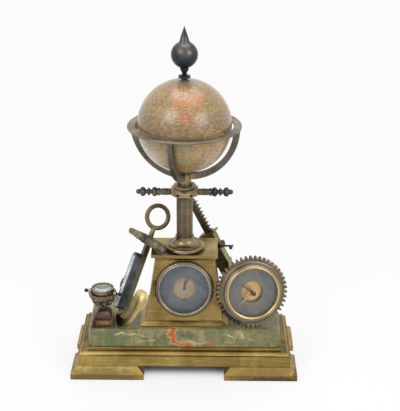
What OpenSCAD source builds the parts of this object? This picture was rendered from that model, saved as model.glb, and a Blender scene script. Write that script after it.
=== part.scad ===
// Desk globe clock in brass and onyx: stepped base on bracket feet, a tapered pedestal with a
// clock, a screw column with a capstan head that carries a globe in its horizon ring, an anchor
// with a thermometer, a binnacle compass, a toothed wheel with a barometer, and a rack jack.
// Millimetres. X to the right, Y to the rear, Z up, ground at Z = 0, globe axis on X = Y = 0.

/* [Base] */
// Width of the base over its feet
base_w = 300; // [290:1:310]
// Depth of the base over its feet
base_d = 137; // [132:1:142]
// Height of the bracket feet
foot_h = 16; // [14:0.5:18]
// Upright part of a foot below its slope
foot_plinth_h = 8; // [6:0.5:9]
// Length of a foot along the front
foot_front = 97; // [85:1:105]
// Length of a foot along the side
foot_side = 56; // [50:1:60]
// Thickness of a foot's legs
foot_leg = 22; // [18:1:26]
// Set-back of the frieze behind the feet
frieze_inset = 9; // [7:0.5:10]
// Height of the frieze
frieze_h = 15; // [13:0.5:17]
// Radius of the cove above the frieze
cove_r = 4.5; // [3:0.5:5]
// Height of the bed that carries the slab
bed_h = 4.5; // [3:0.5:6]
// Wall of the hollow frieze moulding
frieze_wall = 6; // [4:0.5:8]

/* [Onyx slab] */
// Width of the slab
slab_w = 253; // [245:1:258]
// Depth of the slab
slab_d = 99; // [96:1:104]
// Thickness of the slab
slab_h = 25.5; // [22:0.5:28]
// Radius of the slab's upper edges
slab_edge = 3; // [1:0.5:5]
// Radius of the slab's corners
slab_corner = 6; // [3:0.5:9]

/* [Pedestal] */
// Distance of the pedestal's middle behind the globe axis
ped_y = 2.5; // [0:0.5:3]
// Half width at the foot of the body
ped_foot_w = 50.4; // [49:0.2:52]
// Half depth at the foot of the body
ped_foot_d = 37.4; // [36.4:0.2:38.4]
// Half width at the top of the body
ped_top_w = 38.4; // [37.4:0.2:39.4]
// Half depth at the top of the body
ped_top_d = 23.7; // [23:0.1:24.5]
// Height of the body
ped_h = 81.5; // [80:0.5:84]
// Wall of the body
ped_wall = 3; // [2:0.5:3.5]
// Height of the bevelled plinth under the body
ped_plinth_h = 6; // [5:0.5:8]
// Reach of the plinth past the body
ped_plinth_out = 7.5; // [6:0.5:9]
// Radius of the cove under the cap
cap_cove = 5.2; // [4:0.2:6]
// Thickness of the cap plate
cap_h = 4; // [3:0.5:5]

/* [Clock] */
// Height of the dial centre above the pedestal's foot
clock_rise = 43.3; // [42:0.1:44]
// Outer radius of the hinged bezel
bezel_r = 37.6; // [37:0.1:38]
// Radius of the dial opening
dial_r = 32.3; // [31:0.1:32.5]
// Depth of the movement drum
drum_depth = 36; // [32:1:38]
// Radius of the gilt centre
gilt_r = 14; // [12:0.5:16]
// Distance of the winding arbor below the dial centre
wind_drop = 16.3; // [15.8:0.1:18]
// Time shown, in minutes after twelve
minutes = 3; // [0:1:9]

/* [Column and capstan] */
// Radius of the threaded column
column_r = 10.4; // [9:0.2:11]
// Height of the capstan head's underside above the cap
column_h = 73.4; // [73:0.2:76]
// Radius of the column foot's lowest moulding
column_foot_r = 26.7; // [24:0.1:27]
// Width of the head across its flats
head_flats = 34.8; // [33:0.2:36]
// Height of the head
head_h = 16.5; // [15:0.5:18]
// Half length of the capstan with its bars
bars_reach = 63.2; // [60:0.2:66]
// Radius of a bar's reeded grip
bar_r = 4; // [3.4:0.1:4.4]
// Radius of the bar sockets
socket_r = 1.9; // [1.6:0.05:2.1]
// Radius of the pivot on the column that the head turns on
pivot_r = 6; // [5:0.25:7]

/* [Globe] */
// Gap between the globe and the horizon ring's bore
globe_gap = 2.6; // [2:0.1:3.2]
// Wall of the globe's shell
globe_wall = 2.5; // [2:0.25:4]
// Outer radius of the horizon ring
ring_r = 72.9; // [72:0.1:74]
// Width of the horizon ring
ring_w = 9.9; // [9:0.1:10]
// Thickness of the horizon ring
ring_h = 3; // [2.5:0.25:4]
// Radial width of the arms
arm_w = 7.8; // [6:0.2:8]
// Thickness of the arms
arm_t = 6; // [5:0.5:7]
// Turn of the arms about the axis
arm_turn = -13.6; // [-20:0.2:-8]
// Gap between the ring's bore and the inner edge of the arms
arm_inset = 1; // [0.8:0.1:1.4]
// Height of the arms' lowest point above the capstan head
arm_rise = 7.6; // [7:0.1:9]
// Radius of the spindle
spindle_r = 3; // [2.5:0.25:3.5]
// Radius of the finial ball
ball_r = 16.9; // [15:0.1:18]
// Height of the spike on the ball
spike_h = 20.5; // [16:0.5:22]

/* [Anchor] */
// Sideways place of the crown
anchor_x = -84.5; // [-86:0.5:-84]
// Fore and aft place of the crown
anchor_y = -39; // [-40:0.5:-37]
// Lean of the shank from upright
anchor_lean = 32.1; // [31.5:0.1:32.6]
// Direction in which the shank leans
anchor_turn = 52; // [51.5:0.1:53]
// Turn of the anchor about its shank
anchor_twist = -122; // [-124:0.5:-120]
// Distance from the crown to the stock
stock_rise = 113; // [112:0.5:115]
// Half length of the stock
stock_half = 46; // [42:0.5:47]
// Radius of the stock in its middle
stock_r = 6.5; // [6:0.1:7]
// Droop of the stock towards the front
stock_tilt = 7.5; // [6:0.5:9]
// Turn of the stock about the shank against the arms
stock_turn = 14; // [12:0.5:16]
// Droop of the arms towards the front
arms_tilt = 14; // [12:0.5:16]
// Middle radius of the ring
eye_r = 15.1; // [14:0.1:15.5]
// Thickness of the ring's bar
eye_t = 6; // [5:0.25:7]
// Length of a palm
palm_l = 43; // [40:0.5:45]
// Half width of a palm
palm_half = 10.4; // [9:0.2:11]
// Thickness of a palm
palm_t = 2.2; // [1.8:0.1:2.6]
// Half span of the arms
fluke_span = 30; // [28:0.5:32]
// Height of the arms' tips above the crown
fluke_rise = 54; // [50:0.5:56]
// Thickness of the arms and of the shank
anchor_t = 7; // [6:0.5:8]
// Distance of the stock's axis in front of the shank's
stock_out = 3; // [2:0.5:3.5]

/* [Thermometer] */
// Width of the thermometer's case
scale_w = 14; // [12:0.5:16]
// Depth of the case behind the tube
scale_t = 9.5; // [8:0.5:10.5]
// Length of the case between its rounded ends
scale_l = 64; // [58:1:70]
// Radius of the tube
tube_r = 1.5; // [1.2:0.1:2]
// Radius of the bulb
bulb_r = 3; // [2.5:0.1:3.5]

/* [Binnacle] */
// Sideways place of the binnacle
binnacle_x = -107.3; // [-109:0.5:-106]
// Fore and aft place of the binnacle
binnacle_y = -32.5; // [-34:0.5:-30]
// Width of its square base
binnacle_w = 29.6; // [28:0.2:30]
// Turn of the cup on its stand
cup_turn = -14; // [-20:1:-5]
// Outer radius of the cup under its rim
cup_r = 17.6; // [17.4:0.1:18.2]
// Radius of the compass bowl
compass_r = 14.6; // [14:0.1:14.9]
// Height of the pivot pins above the slab
pins_rise = 45.7; // [45:0.1:47]
// Distance of the pins' ball ends from the middle
pin_reach = 23; // [22:0.5:25]

/* [Toothed wheel] */
// Sideways place of the wheel's face
wheel_x = 89.2; // [88:0.2:91]
// Fore and aft place of the wheel's face
wheel_y = -33.5; // [-35:0.5:-32]
// Radius over the teeth
wheel_r = 47.5; // [46:0.1:48]
// Height of the teeth
tooth_h = 4; // [3:0.25:4.5]
// Number of teeth
tooth_n = 46; // [40:2:54]
// Thickness of the wheel
wheel_t = 8; // [6:0.5:10]
// Lean of the wheel to the rear
wheel_lean = 11.5; // [10:0.5:13]
// Turn of the wheel to the right
wheel_turn = 10; // [8:0.5:12]
// Outer radius of the barometer's bezel
baro_bezel_r = 37.6; // [37:0.1:38.5]
// Radius of the barometer's opening
baro_dial_r = 31.9; // [31:0.1:32.2]
// Depth of the barometer's case
baro_depth = 15; // [14:0.5:18]
// Radius of the opening in the middle of its dial
baro_hole_r = 14.2; // [12:0.2:16]

/* [Rack jack] */
// Sideways place of the jack's foot
jack_x = 82; // [81:0.5:83]
// Fore and aft place of the jack's foot
jack_y = 38.7; // [38:0.1:39.5]
// Lean of the jack to the left
jack_lean = 30; // [28:0.5:31]
// Turn of the jack to the left
jack_turn = 20; // [18:0.5:22]
// Length of the case along its slope
jack_len = 106.7; // [103:0.5:110]
// Width of the case
jack_w = 18; // [17:0.5:20]
// Depth of the case
jack_d = 12; // [11:0.5:13]
// Wall of the case
jack_wall = 1.5; // [1:0.1:2]
// Pitch of the rack's teeth
rack_pitch = 5.4; // [5:0.1:5.8]
// Number of teeth on the rack
rack_n = 20; // [18:1:21]
// Number of teeth on the pinion
pinion_n = 5; // [5:1:5]
// Length of the crank's arm
crank_len = 19; // [17:0.5:20]
// Slope of the crank's arm above level
crank_rest = 10; // [0:1:20]

/* [Hidden] */
$fn = 64;
// Gap between pieces that are fixed to each other along a curved or slanting face
seat = 0.1;
// Space between pieces of different bodies that pass each other
gap = 0.3;
// Radial clearance of a shaft that turns in its bore
run = 0.06;

brass = [0.66, 0.56, 0.32];
bronze = [0.42, 0.38, 0.31];
steel = [0.30, 0.32, 0.36];
silvered = [0.55, 0.58, 0.60];
gilt = [0.80, 0.58, 0.32];
onyx = [0.50, 0.53, 0.38];
ebony = [0.10, 0.11, 0.13];
paper = [0.72, 0.60, 0.34];
glass = [0.80, 0.88, 0.90, 0.35];
wood = [0.45, 0.30, 0.18];

// Levels of the stack, from the ground up
frieze_z = foot_h + frieze_h;
cove_z = frieze_z + cove_r;
bed_z = cove_z + bed_h;
slab_z = bed_z + slab_h;
body_z = slab_z + ped_plinth_h;
cap_z = body_z + ped_h;
cap_top = cap_z + cap_cove + cap_h;
head_z = cap_top + column_h;
head_top = head_z + head_h;
arm_bottom = head_top + arm_rise;
globe_r = ring_r - ring_w - globe_gap;
arm_out_r = ring_r - ring_w + arm_inset + arm_w;
globe_z = arm_bottom + arm_out_r;
pole_top = globe_z + globe_r;
pole_bottom = globe_z - globe_r;
board_gap = 0.3;

// Base

module foot_outline(half, end_inner, slope) {
    polygon([[-half, 0], [-end_inner, 0], [-end_inner, foot_plinth_h],
        [-end_inner - slope, foot_h], [-half + slope, foot_h], [-half, foot_plinth_h]]);
}

module bracket_foot() {
    slope = frieze_inset;
    inner_x = base_w / 2 - foot_front;
    inner_y = base_d / 2 - foot_side;
    intersection() {
        union() {
            translate([0, -base_d / 2 + foot_leg, 0]) rotate([90, 0, 0])
                linear_extrude(foot_leg) foot_outline(base_w / 2, inner_x, slope);
            translate([-base_w / 2, 0, 0]) rotate([90, 0, 90])
                linear_extrude(foot_leg) foot_outline(base_d / 2, inner_y, slope);
        }
        rotate([90, 0, 90]) linear_extrude(base_w, center = true)
            foot_outline(base_d / 2, inner_y, slope);
        translate([0, base_d / 2, 0]) rotate([90, 0, 0]) linear_extrude(base_d)
            foot_outline(base_w / 2, inner_x, slope);
    }
}

module bracket_feet() {
    color(brass)
        for (mx = [0, 1]) for (my = [0, 1])
            mirror([mx, 0, 0]) mirror([0, my, 0]) bracket_foot();
}

module moulding_section(half, bed_half) {
    difference() {
        translate([-half, foot_h]) square([2 * half, frieze_h + cove_r]);
        for (s = [-1, 1]) translate([s * half, cove_z]) circle(cove_r);
    }
    translate([-bed_half, cove_z - 0.01]) square([2 * bed_half, bed_h + 0.01]);
}

module bolt_places() {
    for (sx = [-1, 1]) for (sy = [-1, 1])
        translate([sx * (ped_foot_w - 9), ped_y + sy * (ped_foot_d - 9), 0]) children();
}

bolt_r = 2.5;
bolt_head_r = 5;
bolt_head_h = 3;

module base_moulding() {
    half_w = base_w / 2 - frieze_inset;
    half_d = base_d / 2 - frieze_inset;
    bed_out = 2;
    color(brass) difference() {
        intersection() {
            rotate([90, 0, 0]) linear_extrude(base_d, center = true)
                moulding_section(half_w, slab_w / 2 + bed_out);
            rotate([90, 0, 90]) linear_extrude(base_w, center = true)
                moulding_section(half_d, slab_d / 2 + bed_out);
        }
        translate([-half_w + frieze_wall, -half_d + frieze_wall, foot_h - 1])
            cube([2 * (half_w - frieze_wall), 2 * (half_d - frieze_wall), frieze_h + 1]);
        bolt_places() translate([0, 0, foot_h]) cylinder(r = bolt_r + 0.25, h = bed_z);
    }
}

module base_board() {
    half_w = base_w / 2 - frieze_inset - frieze_wall - board_gap;
    half_d = base_d / 2 - frieze_inset - frieze_wall - board_gap;
    color(wood) difference() {
        translate([-half_w, -half_d, foot_h])
            cube([2 * half_w, 2 * half_d, frieze_h]);
        bolt_places() {
            translate([0, 0, foot_h - 1]) cylinder(r = bolt_r + 0.25, h = frieze_h + 2);
            translate([0, 0, foot_h - 1]) cylinder(r = bolt_head_r + 0.5, h = bolt_head_h + 2);
        }
    }
}

module onyx_slab() {
    r = slab_corner;
    color(onyx) difference() {
        intersection() {
            translate([0, 0, bed_z]) union() {
                translate([-slab_w / 2 + r, -slab_d / 2, 0])
                    cube([slab_w - 2 * r, slab_d, slab_h]);
                translate([-slab_w / 2, -slab_d / 2 + r, 0])
                    cube([slab_w, slab_d - 2 * r, slab_h]);
                for (sx = [-1, 1]) for (sy = [-1, 1])
                    translate([sx * (slab_w / 2 - r), sy * (slab_d / 2 - r), 0])
                        cylinder(r = r, h = slab_h);
            }
            rotate([90, 0, 0]) linear_extrude(base_d, center = true)
                slab_section(slab_w / 2);
            rotate([90, 0, 90]) linear_extrude(base_w, center = true)
                slab_section(slab_d / 2);
        }
        bolt_places() translate([0, 0, bed_z - 1]) cylinder(r = bolt_r + 0.25, h = slab_h + 2);
    }
}

module slab_section(half) {
    e = slab_edge;
    translate([-half, bed_z]) square([2 * half, slab_h - e]);
    translate([-half + e, slab_z - e - 0.01]) square([2 * (half - e), e + 0.01]);
    for (s = [-1, 1]) translate([s * (half - e), slab_z - e]) circle(e);
}

module base_bolts() {
    shank_top = slab_z + ped_plinth_h - 1.5;
    color(steel) bolt_places() {
        translate([0, 0, foot_h + 1]) cylinder(r = bolt_head_r, h = bolt_head_h);
        translate([0, 0, foot_h + 1]) cylinder(r = bolt_r, h = shank_top - foot_h - 1);
    }
}

// Pedestal

// Extrudes an outline drawn in X and Z along Y, and one drawn in Y and Z along X, and keeps
// what both hold, which mitres the corners of a moulding
module mitred(span) {
    intersection() {
        translate([0, ped_y, 0]) rotate([90, 0, 0])
            linear_extrude(span, center = true) children(0);
        translate([0, ped_y, 0]) rotate([90, 0, 90])
            linear_extrude(span, center = true) children(1);
    }
}

module plinth_section(top_half) {
    lip = 2;
    out = top_half + ped_plinth_out;
    polygon([[-out, slab_z], [out, slab_z], [out, slab_z + lip], [top_half, body_z],
        [-top_half, body_z], [-out, slab_z + lip]]);
}

module pedestal_plinth() {
    color(brass) difference() {
        mitred(2 * base_d) {
            plinth_section(ped_foot_w);
            plinth_section(ped_foot_d);
        }
        bolt_places() translate([0, 0, slab_z - 1])
            cylinder(r = bolt_r + 0.1, h = ped_plinth_h);
    }
}

module body_section(foot_half, top_half, grow) {
    polygon([[-foot_half, body_z - grow], [foot_half, body_z - grow],
        [top_half, cap_z + grow], [-top_half, cap_z + grow]]);
}

// Slope of the front face, and its place at the height of the clock
front_tilt = atan((ped_foot_d - ped_top_d) / ped_h);
clock_z = body_z + clock_rise;
clock_y = ped_y - ped_foot_d + clock_rise * tan(front_tilt);

// Frame on the pedestal's front face: X right, Y up the face, Z outwards
module on_front() {
    translate([0, clock_y, clock_z]) rotate([90 - front_tilt, 0, 0]) children();
}

module on_rear() {
    translate([0, 2 * ped_y, 0]) rotate([0, 0, 180]) on_front() children();
}

drum_r = dial_r + 1.8;
cover_r = 29;

module pedestal_body() {
    color(brass) difference() {
        mitred(2 * base_d) {
            body_section(ped_foot_w, ped_top_w, 0);
            body_section(ped_foot_d, ped_top_d, 0);
        }
        mitred(2 * base_d) {
            body_section(ped_foot_w - ped_wall, ped_top_w - ped_wall, 1);
            body_section(ped_foot_d - ped_wall, ped_top_d - ped_wall, 1);
        }
        on_front() translate([0, 0, -10]) cylinder(r = drum_r + seat, h = 20);
        on_rear() translate([0, 0, -10]) cylinder(r = cover_r + seat, h = 20);
        on_front() hinge_cut();
    }
}

module cap_section(half) {
    out = half + cap_cove;
    difference() {
        translate([-out, cap_z]) square([2 * out, cap_cove + cap_h]);
        for (s = [-1, 1]) translate([s * out, cap_z]) circle(cap_cove);
    }
}

module pedestal_cap() {
    color(brass) mitred(2 * base_d) {
        cap_section(ped_top_w);
        cap_section(ped_top_d);
    }
}

module rear_cover() {
    color(brass) on_rear() {
        translate([0, 0, -ped_wall]) cylinder(r = cover_r, h = ped_wall);
        rotate_extrude() polygon([[0, 0], [cover_r + 3, 0], [cover_r + 3, 1.2],
            [cover_r, 2], [0, 2]]);
        translate([0, 0, 2]) rotate_extrude()
            polygon([[0, 0], [2, 0], [1.6, 3], [4, 5], [4, 7], [3, 8], [0, 8]]);
        for (a = [45 : 90 : 315]) rotate([0, 0, a]) translate([cover_r - 5, 0, 2])
            cylinder(r = 1.8, h = 0.9);
    }
}

// Clock, in the frame of the pedestal's front face

flange_t = 1;
drum_in = drum_r - 1.4;
ledge_z = -10;
plate_t = 1.5;
front_plate_z = ledge_z;
back_plate_z = -32;
dial_z = -3;
dial_t = 1;
bezel_h = 5;
hinge_r = 1.6;
hinge_x = -(bezel_r + 1.4);
hinge_z = flange_t + 1.8;
hinge_half = 7;
arbor_r = 1;
wind_r = 2;
glass_z = 4;
glass_t = 1;

module movement_drum() {
    color(brass) on_front() difference() {
        union() {
            translate([0, 0, -drum_depth]) cylinder(r = drum_r, h = drum_depth);
            cylinder(r = drum_r + 1.8, h = flange_t);
        }
        translate([0, 0, -drum_depth - 1])
            cylinder(r = drum_in - 1.6, h = drum_depth + 3);
        translate([0, 0, ledge_z]) cylinder(r = drum_in, h = 20);
        translate([0, 0, -drum_depth - 1])
            cylinder(r = drum_in, h = drum_depth + 1 + ledge_z - 1.5);
    }
}

module movement_frame() {
    color(gilt) on_front() difference() {
        union() {
            translate([0, 0, front_plate_z]) cylinder(r = drum_in - seat, h = plate_t);
            translate([0, 0, back_plate_z]) cylinder(r = drum_in - 4, h = plate_t);
            for (a = [45 : 90 : 315]) rotate([0, 0, a])
                translate([drum_in - 7, 0, back_plate_z + plate_t / 2])
                    cylinder(r = 2, h = front_plate_z - back_plate_z);
        }
        translate([0, 0, back_plate_z - 1]) cylinder(r = arbor_r + run, h = 40);
        translate([0, -wind_drop, back_plate_z - 1]) cylinder(r = wind_r + run, h = 40);
    }
}

barrel_z = -28;
barrel_h = 12;

module spring_barrel() {
    color(gilt) on_front() translate([0, -wind_drop, barrel_z]) difference() {
        union() {
            cylinder(r = 10, h = barrel_h);
            translate([0, 0, 1]) cylinder(r = 11.5, h = 2);
            translate([0, 0, -2.4]) cylinder(r = 3.4, h = 3);
        }
        translate([0, 0, -5]) cylinder(r = wind_r + run, h = barrel_h + 10);
    }
}

module centre_arbor() {
    color(steel) on_front() {
        translate([0, 0, back_plate_z - 1]) cylinder(r = arbor_r, h = 2 - back_plate_z);
        translate([0, 0, -24]) cylinder(r = 4.2, h = 1.2);
        translate([0, 0, -20]) cylinder(r = 2, h = 6);
    }
}

module winding_arbor() {
    square_end = 2.6;
    color(steel) on_front() translate([0, -wind_drop, 0]) {
        translate([0, 0, back_plate_z - 1])
            cylinder(r = wind_r, h = dial_z - back_plate_z - 1);
        translate([-square_end / 2, -square_end / 2, dial_z - 3])
            cube([square_end, square_end, 4.4]);
    }
}

module clock_dial() {
    foot_top = dial_z;
    color(silvered) on_front() difference() {
        union() {
            translate([0, 0, dial_z]) cylinder(r = drum_in - seat, h = dial_t);
            for (a = [30 : 120 : 270]) rotate([0, 0, a])
                translate([dial_r - 8, 0, front_plate_z + plate_t])
                    cylinder(r = 1.5, h = foot_top - front_plate_z - plate_t);
        }
        translate([0, 0, dial_z - 1]) cylinder(r = 2.4, h = 4);
        translate([0, -wind_drop, dial_z - 1]) cylinder(r = wind_r + 0.6, h = 4);
    }
}

module clock_centre() {
    color(gilt) on_front() difference() {
        union() {
            translate([0, 0, dial_z + dial_t]) cylinder(r = gilt_r, h = 0.4);
            translate([0, -wind_drop, dial_z + dial_t]) cylinder(r = wind_r + 1.4, h = 0.4);
        }
        translate([0, 0, dial_z]) cylinder(r = 2.4, h = 4);
        translate([0, -wind_drop, dial_z]) cylinder(r = wind_r + 0.6, h = 4);
    }
}

module hand_outline(reach, root, tip) {
    polygon([[-root, 0], [root, 0], [root * 1.3, reach * 0.55], [tip, reach * 0.8],
        [0, reach], [-tip, reach * 0.8], [-root * 1.3, reach * 0.55]]);
}

hour_z = dial_z + dial_t + 0.9;
minute_z = hour_z + 1;
hand_t = 0.4;

module hour_hand() {
    color(steel) on_front() rotate([0, 0, -minutes / 2]) difference() {
        union() {
            translate([0, 0, hour_z]) linear_extrude(hand_t) hand_outline(dial_r * 0.42, 0.8, 0.5);
            translate([0, 0, dial_z]) cylinder(r = 2.1, h = hour_z + hand_t - dial_z);
        }
        translate([0, 0, dial_z - 1]) cylinder(r = arbor_r + run, h = 6);
    }
}

module minute_hand() {
    color(steel) on_front() rotate([0, 0, -minutes * 6]) difference() {
        union() {
            translate([0, 0, minute_z]) linear_extrude(hand_t)
                hand_outline(dial_r * 0.58, 0.7, 0.45);
            translate([0, 0, minute_z - 0.3]) cylinder(r = 1.9, h = hand_t + 0.6);
        }
        translate([0, 0, minute_z - 1]) cylinder(r = arbor_r + 0.02, h = 4);
    }
}

// Swinging bezel: a stepped, rounded ring that holds the glass behind its lip
module bezel_ring(outer, inner, low, high, glass_low, glass_high, glass_out) {
    w = outer - inner;
    rotate_extrude() difference() {
        union() {
            translate([inner, low]) square([w, high - low - w * 0.3]);
            translate([inner + w * 0.12, low]) square([w * 0.5, high - low]);
            translate([outer - w * 0.45, high - w * 0.45]) circle(w * 0.35);
        }
        translate([0, low - 1]) square([glass_out + seat, glass_high - low + 1]);
    }
}

module clock_bezel() {
    top = flange_t + bezel_h;
    color(brass) on_front() {
        difference() {
            bezel_ring(bezel_r, dial_r, flange_t + 0.2, top, glass_z, glass_z + glass_t,
                dial_r + 1.2);
            translate([hinge_x, 0, hinge_z]) rotate([90, 0, 0])
                cylinder(r = hinge_r + 0.4, h = 4 * hinge_half, center = true);
        }
        difference() {
            union() {
                translate([hinge_x, 0, hinge_z]) rotate([90, 0, 0])
                    cylinder(r = hinge_r, h = hinge_half, center = true);
                translate([hinge_x, -hinge_half / 2, hinge_z - 0.8])
                    cube([4, hinge_half, 1.6]);
            }
            translate([hinge_x, 0, hinge_z]) rotate([90, 0, 0])
                cylinder(r = 0.7 + run, h = 4 * hinge_half, center = true);
        }
        translate([bezel_r - 0.6, 0, flange_t + 1.6]) rotate([0, 90, 0]) cylinder(r = 1.2, h = 2);
    }
}

module clock_glass() {
    color(glass) on_front() translate([0, 0, glass_z])
        cylinder(r = dial_r + 1.2, h = glass_t);
}

module hinge_cut() {
    translate([hinge_x, 0, hinge_z]) rotate([90, 0, 0])
        cylinder(r = hinge_r + 0.4, h = hinge_half + 1, center = true);
}

module bezel_hinge() {
    color(brass) on_front() {
        translate([hinge_x, 0, hinge_z]) rotate([90, 0, 0])
            cylinder(r = 0.7, h = 3 * hinge_half, center = true);
        for (s = [-1, 1]) {
            translate([hinge_x, s * hinge_half, hinge_z]) rotate([90, 0, 0])
                cylinder(r = hinge_r, h = hinge_half - 0.6, center = true);
            translate([hinge_x - hinge_r, s * hinge_half - (hinge_half - 0.6) / 2, 0])
                cube([2 * hinge_r, hinge_half - 0.6, hinge_z]);
        }
    }
}

// Column, capstan head, arms and horizon ring

bell_top = 18;
column_seat = 8;

module column_foot() {
    r = column_foot_r;
    torus = 3.1;
    color(bronze) translate([0, 0, cap_top]) difference() {
        rotate_extrude() {
            square([r - torus, 2 * torus]);
            translate([r - torus, torus]) circle(torus);
            translate([0, 2 * torus]) square([r - 5, 1.6]);
            difference() {
                translate([0, 2 * torus]) square([r - 6, bell_top - 2 * torus - 1.6]);
                translate([r - 6 + 0.6, bell_top - 1.6]) scale([9.4, 9.6]) circle(1);
            }
            translate([0, bell_top - 2.2]) square([column_r + 2, 2.2]);
        }
        translate([0, 0, column_seat]) cylinder(r = column_r + seat, h = bell_top);
    }
}

pivot_h = head_h - 5.5;

module screw_column() {
    color(bronze) {
        translate([0, 0, cap_top + column_seat])
            cylinder(r = column_r, h = column_h - column_seat - 0.3);
        translate([0, 0, head_z - 1]) cylinder(r = pivot_r, h = pivot_h + 1);
    }
}

bar_z = head_top - 10.7;
socket_depth = 9;

module capstan_head() {
    across = head_flats / 2;
    corner = across / cos(30);
    color(brass) difference() {
        intersection() {
            translate([0, 0, head_z]) rotate([0, 0, 30]) cylinder(r = corner, h = head_h, $fn = 6);
            translate([0, 0, head_z]) rotate_extrude() polygon([[0, 0], [across - 4.6, 0],
                [corner - 0.6, 4.4], [corner - 0.6, head_h - 6], [across - 2.6, head_h - 2.6],
                [across - 2.6, head_h - 1.2], [across - 4, head_h], [0, head_h]]);
        }
        translate([0, 0, head_z - 1]) cylinder(r = pivot_r + run, h = pivot_h + 1 + gap);
        translate([0, 0, head_z + 1]) cylinder(r = spindle_r + seat, h = head_h);
        for (a = [0 : 60 : 300]) rotate([0, 0, a]) translate([across - socket_depth, 0, bar_z])
            rotate([0, 90, 0]) cylinder(r = socket_r, h = socket_depth + 8);
    }
}

module capstan_bars() {
    across = head_flats / 2;
    tip = bars_reach;
    color(bronze) for (a = [0, 180]) rotate([0, 0, a]) translate([0, 0, bar_z])
        rotate([0, 90, 0]) rotate_extrude() {
            translate([0, across - socket_depth + 1])
                square([socket_r - 0.05, socket_depth]);
            translate([0, across]) square([bar_r, 15]);
            translate([bar_r - 1.2, across + 1.6]) circle(1.6);
            translate([0, across + 14]) square([bar_r * 0.7, tip - across - 20]);
            intersection() {
                translate([0, across + 16.4]) circle(5.1);
                translate([0, across + 14.6]) square([8, 3.2]);
            }
            for (p = [21.6, 36.8]) intersection() {
                translate([0, across + p]) scale([1, 0.72]) circle(6.2);
                translate([0, across]) square([8, 60]);
            }
            intersection() {
                translate([0, across + 29]) scale([1, 0.5]) circle(5.1);
                translate([0, across]) square([8, 60]);
            }
            intersection() {
                translate([0, tip - 3.3]) circle(3.3);
                translate([0, tip - 8]) square([8, 9]);
            }
        }
}

module globe_arms() {
    arm_in_r = arm_out_r - arm_w;
    hub_r = 8.6;
    color(bronze) rotate([0, 0, arm_turn]) difference() {
        union() {
            for (a = [0, 90]) rotate([0, 0, a]) intersection() {
                translate([0, 0, globe_z]) rotate([90, 0, 0]) difference() {
                    cylinder(r = arm_out_r, h = arm_t, center = true, $fn = 128);
                    cylinder(r = arm_in_r, h = arm_t + 1, center = true, $fn = 128);
                }
                translate([-ring_r, -ring_r, arm_bottom - 1])
                    cube([2 * ring_r, 2 * ring_r, globe_z - ring_h / 2 - arm_bottom + 1]);
            }
            translate([0, 0, head_top]) cylinder(r = hub_r + 1.2, h = 2);
            translate([0, 0, head_top]) cylinder(r = hub_r, h = arm_rise + arm_w - 1.6);
            translate([0, 0, head_top]) cylinder(r = hub_r - 1, h = arm_rise + arm_w);
        }
        translate([0, 0, head_top - 1]) cylinder(r = spindle_r + seat, h = arm_rise + arm_w + 2);
    }
}

module horizon_ring() {
    inner = ring_r - ring_w;
    color(brass) translate([0, 0, globe_z - ring_h / 2]) rotate_extrude($fn = 128)
        polygon([[inner, 0], [ring_r - 0.6, 0], [ring_r, 0.6], [ring_r, ring_h - 0.9],
            [ring_r - 0.9, ring_h], [inner + 0.4, ring_h], [inner, ring_h - 0.4]]);
}

collar_low = pole_top + gap;
collar_h = 4.8;
stud_r = 1.7;
stud_h = 15;

module globe_spindle() {
    low = head_z + pivot_h + gap;
    hub_top = head_top + arm_rise + arm_w;
    color(steel) {
        translate([0, 0, low]) cylinder(r = spindle_r, h = collar_low + collar_h - low);
        translate([0, 0, hub_top + gap])
            cylinder(r = 2 * spindle_r, h = pole_bottom - 2 * gap - hub_top);
        translate([0, 0, collar_low + collar_h - 1]) cylinder(r = stud_r, h = stud_h);
    }
}

module half_globe_section() {
    difference() {
        union() {
            intersection() {
                difference() {
                    circle(globe_r, $fn = 160);
                    circle(globe_r - globe_wall, $fn = 160);
                }
                square([globe_r, globe_r]);
            }
            intersection() {
                circle(globe_r, $fn = 160);
                translate([0, globe_r - 9]) square([8, 9]);
            }
        }
        square([spindle_r + run, globe_r + 1]);
    }
}

module globe_north() {
    color(paper) translate([0, 0, globe_z]) rotate_extrude($fn = 128) half_globe_section();
}

module globe_south() {
    color(paper) translate([0, 0, globe_z]) rotate([180, 0, 0])
        rotate_extrude($fn = 128) half_globe_section();
}

module finial_collar() {
    color(ebony) translate([0, 0, collar_low]) difference() {
        rotate_extrude() polygon([[0, 0], [4, 0], [4, 1.6], [7.7, 2.2], [7.7, collar_h - 0.5],
            [7.2, collar_h], [0, collar_h]]);
        translate([0, 0, -1]) cylinder(r = spindle_r + seat, h = collar_h + 2);
    }
}

module finial() {
    low = collar_low + collar_h;
    neck_h = 10.5;
    ball_z = neck_h + ball_r - 0.9;
    spike_r = 6.9;
    spike_z = ball_z + sqrt(ball_r * ball_r - spike_r * spike_r);
    color(ebony) translate([0, 0, low]) difference() {
        rotate_extrude() {
            polygon([[0, 0], [4.6, 0], [4.6, 0.7], [2.7, 1.9], [6.2, neck_h + 0.4], [0, neck_h]]);
            intersection() {
                translate([0, ball_z]) circle(ball_r);
                square([ball_r + 1, ball_z + ball_r + 1]);
            }
            polygon([[0, spike_z - 1], [spike_r, spike_z - 0.3],
                [spike_r * 0.52, spike_z + spike_h * 0.5], [0, spike_z + spike_h]]);
        }
        translate([0, 0, -1]) cylinder(r = stud_r + seat, h = stud_h + 1);
    }
}

// Anchor, in its own frame: Z up the shank, X along the arms, Y away from the viewer

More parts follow.
